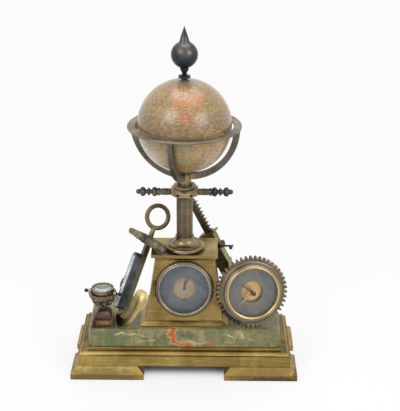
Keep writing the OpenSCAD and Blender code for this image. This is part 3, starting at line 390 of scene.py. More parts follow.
@dataclass(frozen=True)
class TurnedMetal(Finish):
    """Metal turned on a lathe: fine rings about its frame's own axis, banded by radius with some
    painted highlights.
    """

    dark: int
    place: Matrix
    bands: Bands
    roughness: float = 0.24
    pitch: float = 0.00045

    def make(self) -> Material:
        """Builds the material.

        Returns:
            The turned metal.
        """
        shade = Shading(self.name)
        spin = self.place.to_3x3().inverted().to_euler("XYZ")
        across, along, _ = shade.axes(shade.place(self.place.translation,
                                                  [math.degrees(value) for value in spin]))
        radius = shade.hypot(across, along)
        ring = shade.maths("SINE", shade.times(radius, math.tau / self.pitch))
        film = shade.clouds(38, 5, 0.6, 0.5)
        spots = shade.clouds(420, 4, 0.6)
        low, high = self.bands[0][0] * MM, self.bands[-1][0] * MM
        rule = shade.maths("DIVIDE", shade.maths("SUBTRACT", radius, low), high - low)
        stops = tuple(((place * MM - low) / (high - low), code) for place, code in self.bands)
        colour = shade.layers(shade.ramp(rule, stops), (film, 0.3, 0.7, 0.12, 0.45, self.dark),
                              (spots, 0.62, 0.8, 0, 0.35, self.dark))
        gloss = shade.span(film, 0.3, 0.7, self.roughness - 0.05, self.roughness + 0.12)
        return shade.surface(Base_Color=colour, Metallic=1, Roughness=gloss,
                             Normal=shade.bump(ring, 0.000006, 0.5))


@dataclass(frozen=True)
class TarnishAndHighlight(Finish):
    """A silvered, gilt or dark surface, lighter at a centre and darker further out, in metres:
    tarnish on the dials and sheets, a painted highlight on the finial's ball.
    """

    inner: int
    outer: int
    centre: Sequence[float]
    reach: float
    roughness: float = 0.38
    metallic: float = 0.75

    def make(self) -> Material:
        """Builds the material.

        Returns:
            The tarnished sheet, or the finial's ball with its painted highlight.
        """
        shade = Shading(self.name)
        length = shade.vectors("LENGTH", shade.place(self.centre))
        bloom = shade.clouds(45, 5, 0.6, 0.6)
        brush = shade.clouds(900, 2, 0.5)
        freckle = shade.clouds(260, 4, 0.7)
        drift = shade.maths("ADD", shade.maths("DIVIDE", length, self.reach),
                            shade.span(bloom, 0.3, 0.7, -0.22, 0.22))
        colour = shade.layers(self.inner, (drift, 0.35, 1.05, 0, 1, self.outer),
                              (freckle, 0.6, 0.82, 0, 0.3, linear(self.outer, 0.55)))
        gloss = shade.span(bloom, 0.3, 0.7, self.roughness - 0.06, self.roughness + 0.1)
        return shade.surface(Base_Color=colour, Metallic=self.metallic, Roughness=gloss,
                             Normal=shade.bump(brush, 0.00001, 0.4))


@dataclass(frozen=True)
class BandedOnyx(Finish):
    """Polished green onyx in cloudy level bands, with a rust-red flaw and pale veins in front."""

    front: Point = (0, -0.0495, 0)
    flaw: Line = ((-14.9, 65.8), (-17.8, 58.7), (-12, 47.6), (-4.6, 44.5), (10.1, 42))
    threads: tuple[Line, ...] = (((-1.7, 52.3), (18.8, 44.4), (38, 47.6)), ((-94, 59), (-52, 57)),
                                 ((73, 65), (77.6, 54), (89.4, 50.7)), ((-64, 46), (-40, 49)),
                                 ((52, 60), (66, 56)))

    def make(self) -> Material:
        """Builds the material.

        Returns:
            The polished stone.
        """
        shade = Shading(self.name)
        beds = shade.clouds(1, 6, 0.62, 1.1, shade.place(turn=(3, 2, 0), scale=(17, 20, 40)))
        clouds = shade.clouds(24, 5, 0.62, 0.8)
        grain = shade.clouds(150, 5, 0.65, 0.6)
        upright = shade.clouds(1, 5, 0.6, 0.7, shade.place(scale=(85, 60, 22)))
        cells = shade.add("ShaderNodeTexVoronoi", shade.bent(shade.here, 60, (0.02, 0.02, 0.02)),
                          Scale=34).outputs["Color"]
        colour = shade.layers(shade.ramp(beds, ((0.30, 0x4C4E34), (0.43, 0x6C6A47),
                                                (0.52, 0x847C53), (0.61, 0x626442),
                                                (0.75, 0x96885C))),
                              (cells, 0.35, 0.65, 0, 0.5, 0x626646),
                              (clouds, 0.48, 0.66, 0, 0.7, 0xA6966C),
                              (grain, 0.48, 0.7, 0, 0.6, 0x48482E),
                              (upright, 0.52, 0.68, 0, 0.6, 0x9C9268),
                              (upright, 0.46, 0.32, 0, 0.65, 0x4E5A3E))
        dark_end = shade.blot((-0.095, -0.05, 0.054), (0.02, 0.03, 0.02), clouds, 0.7)
        colour = shade.blend(dark_end, colour, 0x5C6846)
        place = shade.bent(shade.place(self.front, scale=(1, 0.4, 1)), 110, (0.012, 0, 0.012))
        for thread in self.threads:
            near = shade.span(shade.stroke(place, thread), 0.0019, 0.0003, 0, 0.8)
            colour = shade.blend(shade.times(near, shade.span(grain, 0.4, 0.6, 0.15, 1)), colour,
                                 0xCCBC8E)
        away = shade.maths("ADD", shade.stroke(place, self.flaw),
                           shade.span(grain, 0.3, 0.7, 0.0026, -0.0012))
        rust = shade.layers(0xC45628, (grain, 0.38, 0.62, 0, 1, 0x964222))
        colour = shade.layers(colour, (away, 0.0085, 0.0045, 0, 0.7, 0xB89E62),
                              (away, 0.0048, 0.0018, 0, 0.95, rust))
        second = shade.blot((0.035, -0.0495, 0.0443), (0.0085, 0.012, 0.0024), grain, 0.75)
        return shade.surface(Base_Color=shade.blend(second, colour, 0xAA5A30), Roughness=0.3,
                             Subsurface_Weight=0.08, Subsurface_Radius=(0.006, 0.006, 0.004),
                             Subsurface_Scale=0.3, Specular_IOR_Level=0.35,
                             Normal=shade.bump(clouds, 0.00002, 0.3))


@dataclass(frozen=True)
class PrintedGlobe(Finish):
    """Varnished paper of an old table globe: tinted land from the piece's own attributes, ochre
    and olive seas, fine print along the parallels, a graticule and foxing."""

    centre: Point
    facing: float

    def make(self) -> Material:
        """Builds the material.

        Returns:
            The varnished map.
        """
        shade = Shading(self.name)
        coast = shade.add("ShaderNodeAttribute", attribute_name="coast").outputs["Fac"]
        tint = shade.add("ShaderNodeAttribute", attribute_name="tint")
        east, north, up = shade.axes(shade.place(self.centre))
        flat = shade.hypot(east, north)
        latitude = shade.maths("ARCTAN2", up, flat)
        longitude = shade.maths("ADD", shade.maths("ARCTAN2", east, shade.times(north, -1)),
                                math.pi)
        wander = shade.clouds(240, 5, 0.65)
        shore = shade.maths("ADD", coast, shade.span(wander, 0.25, 0.75, -1.9, 1.9))
        inked = shade.span(shade.maths("ABSOLUTE", shore), 0.5, 0)
        stains = shade.clouds(20, 6, 0.62, 0.6)
        fox = shade.clouds(64, 6, 0.7, 0.8)
        blotches = shade.clouds(33, 4, 0.6, 1.2, shade.place((0.3, 0.2, 0.1)))
        sea = shade.ramp(stains, ((0.30, 0x7A5C38), (0.42, 0x92764A), (0.50, 0x847042),
                                  (0.58, 0x9E8050), (0.70, 0x806442)))
        sea = shade.layers(sea, (blotches, 0.5, 0.68, 0, 0.6, 0xA68442))
        # Paler towards the sides of the southern half: painted reflection of the white table and
        # room in the varnish.
        aside = shade.maths("ABSOLUTE", shade.maths("SUBTRACT", longitude, math.pi))
        pale = shade.times(shade.span(latitude, -0.02, -0.5), shade.span(aside, 0.2, 1.1, 0, 0.75))
        sea = shade.blend(pale, sea, 0xBAA496)
        band = shade.times(shade.span(latitude, 0.62, 0.12), shade.span(latitude, -0.08, 0.02))
        sea = shade.blend(shade.times(band, shade.span(fox, 0.3, 0.6, 0.25, 0.7)), sea, 0x705436)
        worn = shade.layers(tint, (fox, 0.34, 0.7, 0.4, 0.92, 0x9C7648),
                            (stains, 0.4, 0.66, 0.1, 0.6, 0x80643E))
        colour = shade.blend(shade.times(shade.span(shore, -0.5, 0.5), 0.86), sea, worn)
        print_place = shade.add("ShaderNodeCombineXYZ", shade.times(longitude, 0.024),
                                shade.times(latitude, 0.062))
        words = shade.clouds(460, 2, 0.6, 0.2, print_place)
        colour = shade.layers(colour, (latitude, 1.16, 1.36, 0, 0.6, 0x80766C),
                              (words, 0.51, 0.64, 0, 0.55, 0x544230),
                              (words, 0.46, 0.34, 0, 0.4, 0xCCA868))
        colour = shade.blend(shade.times(inked, 0.45), colour, 0x684C30)
        graticule = self.lines(shade, latitude, longitude, flat)
        colour = shade.blend(shade.times(graticule, 0.26), colour, 0x5C482E)
        return shade.surface(Base_Color=colour, Roughness=shade.span(fox, 0.3, 0.7, 0.3, 0.44),
                             Coat_Weight=0.75, Coat_IOR=1.53, Coat_Roughness=0.2,
                             Normal=shade.bump(stains, 0.0001, 0.25))

    def lines(self, shade: Shading, latitude: Node, longitude: Node, flat: Node) -> Node:
        """Thin lines every fifteen degrees, along and across.

        Args:
            shade: The tree to build in.
            latitude: Latitude in radians.
            longitude: Longitude in radians.
            flat: Distance from the axis in metres.

        Returns:
            1 on a line and 0 between them.
        """
        step = math.radians(15)
        turn = (180 - self.facing) / 15
        marks = []
        for angle, shift, squeeze in ((latitude, 40.5, None), (longitude, 40.5 - turn, flat)):
            place = shade.maths("ADD", shade.maths("DIVIDE", angle, step), shift)
            off = shade.maths("ABSOLUTE", shade.maths("SUBTRACT", shade.maths("FRACT", place), 0.5))
            if squeeze:
                off = shade.times(off, shade.maths("DIVIDE", squeeze, 0.06))
            marks.append(shade.span(off, 0.018, 0.008))
        return shade.maths("MAXIMUM", *marks)


@dataclass(frozen=True)
class Plain(Finish):
    """A simple finish with a little mottling: paint, blued steel, mercury or stained wood."""

    light: int
    dark: int
    roughness: float = 0.4
    metallic: float = 0.0
    scale: float = 90.0
    stretch: Point = (1, 1, 1)
    depth: float = 0.00003

    def make(self) -> Material:
        """Builds the material.

        Returns:
            The plain finish.
        """
        shade = Shading(self.name)
        place = shade.place(scale=self.stretch)
        cloud = shade.clouds(self.scale, 5, 0.6, 0.3, place)
        fine = shade.clouds(self.scale * 9, 3, 0.6, 0, place)
        colour = shade.layers(self.light, (cloud, 0.32, 0.7, 0, 1, self.dark))
        gloss = shade.span(fine, 0.3, 0.7, max(self.roughness - 0.08, 0.02), self.roughness + 0.1)
        return shade.surface(Base_Color=colour, Metallic=self.metallic, Roughness=gloss,
                             Coat_Roughness=0.15, Normal=shade.bump(fine, self.depth))


@dataclass(frozen=True)
class Ink(Plain):
    """Engraved and filled marks, almost smooth."""

    roughness: float = 0.5
    depth: float = 0.000005


@dataclass(frozen=True)
class ThinGlass(Finish):
    """Thin clear glass that lets light straight through and mirrors more at a slant."""

    tint: tuple[float, ...] = (0.96, 0.98, 0.98, 1)
    shine: float = 1.0

    def make(self) -> Material:
        """Builds the material.

        Returns:
            The glass.
        """
        shade = Shading(self.name)
        clear = shade.add("ShaderNodeBsdfTransparent", self.tint)
        mirror = shade.add("ShaderNodeBsdfGlossy", (0.97, 0.97, 0.97, 1), 0.03)
        slant = shade.add("ShaderNodeFresnel", 1.45)
        smears = shade.span(shade.clouds(30, 3, 0.5), 0.3, 0.7, 0.75 * self.shine, self.shine)
        return shade.end(shade.add("ShaderNodeMixShader", shade.times(slant, smears), clear,
                                   mirror))


# Meshes


class Unit(Enum):
    """What a ring of repeated pieces is made of."""

    BAR = "bar"
    BEAD = "bead"


def turned(degrees: float, axis: str) -> Matrix:
    """A rotation matrix."""
    return Matrix.Rotation(math.radians(degrees), 4, axis)


def moved(x: float, y: float, z: float) -> Matrix:
    """A shift in millimetres."""
    return Matrix.Translation((x * MM, y * MM, z * MM))


def put(name: str, data: bpy.types.ID) -> bpy.types.Object:
    """Links a new object to the scene.

    Args:
        name: Its name.
        data: Its mesh, curve, lamp or camera.

    Returns:
        The object.
    """
    holder = bpy.data.objects.new(name, data)
    bpy.context.scene.collection.objects.link(holder)
    return holder


def from_bmesh(work: bmesh.types.BMesh, clean: bool = True) -> Mesh:
    """Turns a bmesh into a mesh.

    Args:
        work: The bmesh, which is used up.
        clean: Whether its normals are turned outwards.

    Returns:
        The mesh.
    """
    if clean:
        bmesh.ops.remove_doubles(work, verts=work.verts, dist=1e-7)
        bmesh.ops.recalc_face_normals(work, faces=work.faces)
    mesh = bpy.data.meshes.new("piece")
    work.to_mesh(mesh)
    work.free()
    return mesh


def joined(meshes: Sequence[Mesh]) -> Mesh:
    """Several meshes as one.

    Args:
        meshes: The meshes.

    Returns:
        The whole.
    """
    work = bmesh.new()
    for mesh in meshes:
        work.from_mesh(mesh)
    return from_bmesh(work, clean=False)


def boxes(*rows: tuple[Point, Point]) -> Mesh:
    """Plain boxes in one mesh.

    Args:
        rows: Each box's centre and size, in millimetres.

    Returns:
        The mesh.
    """
    work = bmesh.new()
    for centre, size in rows:
        scale = Matrix.Diagonal([edge * MM for edge in size] + [1])
        bmesh.ops.create_cube(work, size=1, matrix=moved(*centre) @ scale)
    return from_bmesh(work)


def revolved(outline: Sequence[tuple[float, float]], steps: int = RING_STEPS, is_ring: bool = True,
             bend: Callable[[float, float, float], float] | None = None) -> Mesh:
    """Turns an outline about Z.

    Args:
        outline: Radius and height pairs in millimetres, round a ring or from the bottom up.
        steps: Columns round the axis.
        is_ring: Whether the outline closes on itself. If not, both its ends are capped.
        bend: New radius from the angle, the height and the old radius.

    Returns:
        The closed mesh.
    """
    work = bmesh.new()
    rows = []
    for radius, height in outline:
        row = []
        for angle in (math.tau * step / steps for step in range(steps)):
            reach = (bend(angle, height, radius) if bend else radius) * MM
            row.append(work.verts.new((reach * math.cos(angle), reach * math.sin(angle),
                                       height * MM)))
        rows.append(row)
    for low, high in zip(rows, rows[1:] + rows[:is_ring]):
        for step in range(steps):
            after = (step + 1) % steps
            work.faces.new((low[step], low[after], high[after], high[step]))
    if not is_ring:
        work.faces.new(rows[0][::-1])
        work.faces.new(rows[-1])
    return from_bmesh(work)


def evaluated(carrier: bpy.types.Object) -> Mesh:
    """Turns an object into a plain mesh.

    Args:
        carrier: The object, which is used up with its modifiers.

    Returns:
        The mesh.
    """
    graph = bpy.context.evaluated_depsgraph_get()
    mesh = bpy.data.meshes.new_from_object(carrier.evaluated_get(graph))
    carrier.modifiers.clear()
    bpy.data.objects.remove(carrier)
    return mesh


class GeometryTree(Graph):
    """A Geometry Nodes tree with named inputs that ends in real mesh with its material."""

    def __init__(self, name: str, **sizes: float) -> None:
        """Starts the tree.

        Args:
            name: Its name.
            sizes: What each input is set to, with underscores for spaces in its name.
        """
        super().__init__(bpy.data.node_groups.new(name, "GeometryNodeTree"))
        face = self.tree.interface
        for side in ("INPUT", "OUTPUT"):
            face.new_socket("Geometry", in_out=side, socket_type="NodeSocketGeometry")
        self.values: dict[str, float] = {}
        for key, number in sizes.items():
            kind = "NodeSocketInt" if isinstance(number, int) else "NodeSocketFloat"
            item = face.new_socket(key.replace("_", " "), in_out="INPUT", socket_type=kind)
            self.values[item.identifier] = number
        inputs = self.add("NodeGroupInput").outputs
        self.sizes = [inputs[key.replace("_", " ")] for key in sizes]

    def close(self, geometry: Node, material: Material) -> Mesh:
        """Ends the tree and evaluates it.

        Args:
            geometry: The last geometry node.
            material: The piece's material.

        Returns:
            The plain mesh.
        """
        real = self.add("GeometryNodeRealizeInstances", geometry)
        self.add("NodeGroupOutput", self.add("GeometryNodeSetMaterial", real, Material=material))
        carrier = put("carrier", bpy.data.meshes.new("empty"))
        modifier = carrier.modifiers.new("build", "NODES")
        modifier.node_group = self.tree
        for key, number in self.values.items():
            modifier[key] = number
        return evaluated(carrier)


@dataclass(frozen=True)
class RingArray:
    """Pieces repeated in a circle about Z, such as ticks, reeds and beads, in millimetres."""

    count: int
    radius: float
    size: Point
    unit: Unit = Unit.BAR
    first: float = 0.0
    sweep: float = 360.0
    rise: float = 0.0

    def mesh(self, material: Material) -> Mesh:
        """Builds the ring with Geometry Nodes.

        Args:
            material: Its finish.

        Returns:
            The mesh, in the ring's own frame.
        """
        tree = GeometryTree("ring", Count=self.count, Radius=self.radius * MM,
                            First_angle=math.radians(self.first), Step=math.radians(self.sweep)
                            / self.count, Radial_size=self.size[0] * MM,
                            Tangential_size=self.size[1] * MM, Height=self.size[2] * MM,
                            Rise=self.rise * MM)
        count, radius, first, step, width, depth, height, rise = tree.sizes
        index = tree.add("GeometryNodeInputIndex")
        angle = tree.maths("ADD", first, tree.times(index, step))
        across, along = (tree.times(radius, tree.maths(side, angle)) for side in ("COSINE", "SINE"))
        spot = tree.add("ShaderNodeCombineXYZ", across, along, rise)
        spread = tree.add("GeometryNodeSetPosition", tree.add("GeometryNodePoints", count),
                          Position=spot)
        if self.unit is Unit.BAR:
            shape = tree.add("GeometryNodeMeshCube", (1, 1, 1))
        else:
            shape = tree.add("GeometryNodeMeshUVSphere", 10, 6, 0.5)
        placed = tree.add("GeometryNodeInstanceOnPoints", spread, Instance=shape,
                          Rotation=tree.add("ShaderNodeCombineXYZ", Z=angle),
                          Scale=tree.add("ShaderNodeCombineXYZ", width, depth, height))
        return tree.close(placed, material)


@dataclass(frozen=True)
class Thread:
    """A fine screw thread about Z, from the ground of its frame upwards, in millimetres."""

    radius: float
    height: float
    pitch: float
    depth: float

    def mesh(self, material: Material) -> Mesh:
        """Builds the thread with Geometry Nodes.

        Args:
            material: Its finish.

        Returns:
            The mesh, in the thread's own frame.
        """
        tree = GeometryTree("thread", Radius=self.radius * MM, Height=self.height * MM,
                            Turns=self.height / self.pitch, Depth=self.depth * MM)
        radius, height, turns, depth = tree.sizes
        spiral = tree.add("GeometryNodeCurveSpiral", Resolution=44, Rotations=turns,
                          Start_Radius=radius, End_Radius=radius, Height=height)
        profile = tree.add("GeometryNodeCurvePrimitiveCircle", Resolution=6, Radius=depth)
        return tree.close(tree.add("GeometryNodeCurveToMesh", spiral, Profile_Curve=profile,
                                   Fill_Caps=True), material)


@dataclass(frozen=True)
class FigureRing:
    """Figures round a dial, upright for a reader at its centre, in millimetres."""

    words: tuple[str, ...]
    radius: float
    height: float
    rise: float
    step: float
    first: float = 90.0

    def meshes(self) -> list[Mesh]:
        """Builds the figures.

        Returns:
            Their meshes, in place on the dial.
        """
        meshes = []
        for index, words in enumerate(self.words):
            curve = bpy.data.curves.new("figure", "FONT")
            curve.body = words
            curve.size = self.height * MM / CAPITAL_SHARE
            curve.align_x = curve.align_y = "CENTER"
            curve.resolution_u = 3
            curve.extrude = 0.02 * MM
            mesh = evaluated(put("figure", curve))
            degrees = self.first - self.step * index
            angle = math.radians(degrees)
            mesh.transform(moved(self.radius * math.cos(angle), self.radius * math.sin(angle),
                                 self.rise) @ turned(degrees - 90, "Z"))
            meshes.append(mesh)
        return meshes


# The frames that the construction uses

GLOBE_CENTRE = 331.5
CUP_CENTRE = (-107.3, -32.5, 111.2)
ON_FRONT = moved(0, -27.621, 114.8) @ turned(80.458, "X")
ON_WHEEL = moved(89.2, -33.5, 113.741) @ turned(10, "Z") @ turned(78.5, "X")
IN_CUP = moved(*CUP_CENTRE) @ turned(-14, "Z")
ON_ANCHOR = (moved(-84.5, -39, 72) @ turned(52, "Z") @ turned(32.1, "Y") @ turned(-122, "Z"))
ON_JACK = moved(82, 38.7, 65.5) @ turned(-20, "Z") @ turned(-30, "Y")


# Sub-assemblies

Outfits = tuple[tuple[Finish | str, ...], ...]


@dataclass
class Assembly:
    """A sub-assembly: finishes with the CAD nodes that wear them, and pieces of its own."""

    outfits: Outfits = ()
    made: dict[str, Material] = field(default_factory=dict)

    def build(self) -> None:
        """Dresses the CAD's nodes, then adds what they leave out."""
        for finish, *nodes in self.outfits:
            material = self.made[finish.name] = finish.make()
            for name in nodes:
                self.dress(name, material)
        self.extend()

    def dress(self, name: str, material: Material) -> None:
        """Gives a CAD node its finish.

        Args:
            name: The node's name.
            material: The finish.
        """
        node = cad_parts[name]
        if not node.data.materials:
            node.data.materials.append(material)
        for place in node.material_slots:
            place.material = material
        log.info("%s wears %s", name, material.name)

    def extend(self) -> None:
        """Adds the pieces that the CAD leaves out, where there are any."""

    def add(self, name: str, mesh: Mesh, finish: str, slot: str, place: Matrix = Matrix(),
            body: str = "base", smooth: bool = True, stands_for: str = "") -> None:
        """Puts a mesh in the scene as a piece of the object.

        Args:
            name: The piece's name.
            mesh: Its mesh, in its own frame.
            finish: The name of its finish.
            slot: The record's slot that the finish belongs to; not used.
            place: From its own frame to the row frame.
            body: The CAD body that it rides on.
            smooth: Whether its faces are shaded smooth.
            stands_for: The CAD node that it replaces.
        """
        mesh.name = name
        mesh.transform(place)
        mesh.materials.clear()
        mesh.materials.append(self.made[finish])
        for polygon in mesh.polygons:
            polygon.use_smooth = smooth
            polygon.material_index = 0
        piece = put(name, mesh)
        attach(piece, body)
        if stands_for:
            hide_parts(stands_for)
        log.info("%s: %d faces on %s", name, len(mesh.polygons), body)

    def rings(self, finish: str, *rows: RingArray) -> list[Mesh]:
        """The meshes of rings that share a finish."""
        return [row.mesh(self.made[finish]) for row in rows]


@dataclass
class Stand(Assembly):
    """Feet, frieze, board and onyx slab."""

    outfits: Outfits = (
        # base_brass: the two broad blots darken both feet, painted shade; the small ones are a
        # brown stain and a dark spot.
        (AgedMetal("base_brass", 0xAE9658, 0x88723E, 0xD4C28A, 60, 0.4, 0.85, 0.00006, 0.6,
                   (16, 31, 35.5, 40), (((-0.108, -0.05, 0.002), (0.06, 0.06, 0.0165), 0x76653F),
                                        ((0.108, -0.05, 0.002), (0.06, 0.06, 0.0165), 0x7C6A43),
                                        ((0.118, -0.068, 0.0015), (0.04, 0.012, 0.0048), 0x5C4836),
                                        ((0.147, -0.06, 0.006), (0.008, 0.012, 0.009), 0x68543C))),
         "bracket_feet", "base_moulding"),
        (BandedOnyx("green_onyx"), "onyx_slab"),
        (Plain("stained_board", 0x5C422A, 0x3A281A, 0.6, scale=30, stretch=(1, 12, 12),
               depth=0.0001), "base_board"),
        (Plain("bolt_steel", 0x68645C, 0x423E3A, 0.45, 1), "base_bolts"))


@dataclass
class Pedestal(Assembly):
    """The tapered housing of the clock, its plinth, cap and rear cover."""

    outfits: Outfits = (
        (AgedMetal("pedestal_brass", 0xA28A54, 0x80683C, 0xD0BE8A, 66, 0.36, 0.85, 0.00005, 0.6,
                   (71.5, 153), (((0, -0.04, 0.157), (0.06, 0.014, 0.0045), 0x74613B),)),
         "pedestal_body", "pedestal_plinth", "pedestal_cap", "rear_cover"),)


@dataclass
class Clock(Assembly):
    """The dial, hands, hinged bezel and the works behind them."""

    # Colours by radius across the bezel: the bright silver band at 33 mm is a painted highlight.
    bands: Bands = ((31.5, 0x787470), (33, 0xBEB8AC), (34.2, 0x968C7C), (35.6, 0x70665A),
                    (36.8, 0xA4967C), (38, 0x786A52), (39.4, 0x8C7C56))
    roll: Line = ((32.6, 5.4), (32.7, 6.2), (33.2, 6.7), (33.9, 6.6), (34.4, 6.1), (35.2, 6.2),
                  (36.2, 5.9), (37, 5.2), (37.6, 4.2), (37.9, 3), (37.9, 1.5), (37, 1.5))
    surround: Line = ((37, -0.3), (39.4, -0.3), (39.4, 0.5), (38.9, 0.95), (38.3, 1), (37.8, 0.3),
                      (37, 0.3))
    face: float = -1.97
    minute_ring: float = 30.6
    numerals: FigureRing = FigureRing(("XII", "I", "II", "III", "IIII", "V", "VI", "VII", "VIII",
                                       "IX", "X", "XI"), 26.6, 4.6, face, 30)
    outfits: Outfits = (
        (TarnishAndHighlight("clock_silver", 0x76787C, 0x585A62, ON_FRONT.translation, 0.033, 0.34, 0.7),
         "clock_dial"),
        (TarnishAndHighlight("clock_copper", 0xB2987E, 0xB08860, ON_FRONT.translation, 0.016, 0.3, 0.8),
         "clock_centre"),
        (TurnedMetal("clock_bezel_brass", 0x685E50, ON_FRONT, bands), "clock_bezel"),
        (TurnedMetal("roll_silver", 0x60584E, ON_FRONT, bands),),
        (AgedMetal("hinge_brass", 0x96804C, 0x6A5834, 0xC4B076, 90), "bezel_hinge"),
        (ThinGlass("clock_crystal"), "clock_glass"),
        (Plain("browned_steel", 0x84705E, 0x605044, 0.3, 0.9), "hour_hand", "minute_hand"),
        (Plain("turned_steel", 0x78787A, 0x545458, 0.3, 1), "centre_arbor", "winding_arbor"),
        (AgedMetal("works_brass", 0xB29658, 0x907440, 0xCEB87C, 80, 0.32), "movement_drum",
         "movement_frame", "spring_barrel"),
        (Ink("dial_ink", 0x3E424A, 0x2E323A),))

    def extend(self) -> None:
        """Rounds the bezel off, sets a thin ring round it and marks the dial."""
        self.add("clock_bezel_roll", revolved(self.roll), "roll_silver", "bezel_brass", ON_FRONT,
                 "clock_door")
        self.add("clock_surround", revolved(self.surround), "roll_silver", "bezel_brass", ON_FRONT)
        dots = self.rings("dial_ink", RingArray(60, self.minute_ring, (0.9, 0.14, 0.05),
                                                rise=self.face),
                          RingArray(12, self.minute_ring, (1.3, 0.5, 0.06), rise=self.face + 0.005))
        self.add("clock_figures", joined(self.numerals.meshes() + dots), "dial_ink",
                 "clock_dial_silver", ON_FRONT, smooth=False)


@dataclass
class Column(Assembly):
    """The screw column and its bell foot."""

    outfits: Outfits = (
        (AgedMetal("column_bronze", 0xA08E6C, 0x70624A, 0xD6C69C, 85, 0.32, 0.9), "column_foot"),
        (AgedMetal("screw_bronze", 0x7C6E5C, 0x54483E, 0xAC9C82, 95, 0.34, 0.6), "screw_column"))
    thread: Thread = Thread(10.15, 54, 1.5, 0.62)
    thread_low: float = 180.6

    def extend(self) -> None:
        """Cuts the column's thread."""
        self.add("column_thread", self.thread.mesh(self.made["screw_bronze"]), "screw_bronze",
                 "screw_bronze", moved(0, 0, self.thread_low))


@dataclass
class Capstan(Assembly):
    """The capstan head with its bars, the globe's arms, horizon ring, spindle and finial."""

    outfits: Outfits = (
        (AgedMetal("bar_bronze", 0x70685E, 0x403C38, 0xACA08C, 120, 0.34, 0.85), "capstan_bars"),
        (AgedMetal("arm_bronze", 0x6E665E, 0x504942, 0xA09686, 70, 0.4), "wheel_stay"),
        (AgedMetal("capstan_brass", 0xA69070, 0x705E4A, 0xD6C49E, 100, 0.34, 0.95, stain=0.8),
         "capstan_head"),
        (AgedMetal("spider_bronze", 0x6E665E, 0x504942, 0xA09686, 70, 0.4,
                   blots=(((0, 0, 0.2615), (0.0165, 0.0165, 0.0095), 0x9C8660),)), "globe_arms"),
        (AgedMetal("ring_bronze", 0x9A8E7E, 0x70665A, 0xC0B4A0, 65), "horizon_ring"),
        (Plain("spindle_steel", 0x706E6C, 0x4C4A48, 0.35, 1), "globe_spindle"),
        # finial_black's lighter, browner centre on the ball's upper front is partly its brownish
        # tinge and partly a painted highlight.
        (TarnishAndHighlight("finial_black", 0x5A5552, 0x2E313A, (0, -0.010, 0.436), 0.017, 0.3, 0.7), "finial",
         "finial_collar"),
        (Ink("ring_ink", 0x544C40, 0x423C34, metallic=0.6),))
    reed_count: int = 18
    reed_length: float = 11.6
    bar_height: float = 241.4
    bar_middle: float = 25.2
    ring_outer: float = 72.9
    ring_top: float = 333.0

    def extend(self) -> None:
        """Adds the grips' reeds, the finial's beads and the horizon ring's degree marks."""
        beads, = self.rings("finial_black", RingArray(14, 4.5, (1.9, 1.9, 2.6), Unit.BEAD,
                                                      rise=404.6))
        self.add("finial_beads", beads, "finial_black", "finial_black", body="capstan")
        reeds = RingArray(self.reed_count, 3.95, (1, 1.15, self.reed_length), Unit.BEAD,
                          rise=self.bar_middle)
        grips = self.rings("bar_bronze", reeds, reeds)
        for side, grip in zip((0, 180), grips):
            grip.transform(moved(0, 0, self.bar_height) @ turned(side, "Z") @ turned(90, "Y"))
        self.add("bar_reeds", joined(grips), "bar_bronze", "bar_bronze", body="capstan")
        marks = self.rings("ring_ink", RingArray(180, self.ring_outer - 2.2, (1.4, 0.16, 0.04),
                                                 rise=self.ring_top),
                           RingArray(36, self.ring_outer - 3.2, (3.2, 0.26, 0.05),
                                     rise=self.ring_top))
        self.add("horizon_degrees", joined(marks), "ring_ink", "ring_bronze", body="capstan",
                 smooth=False)


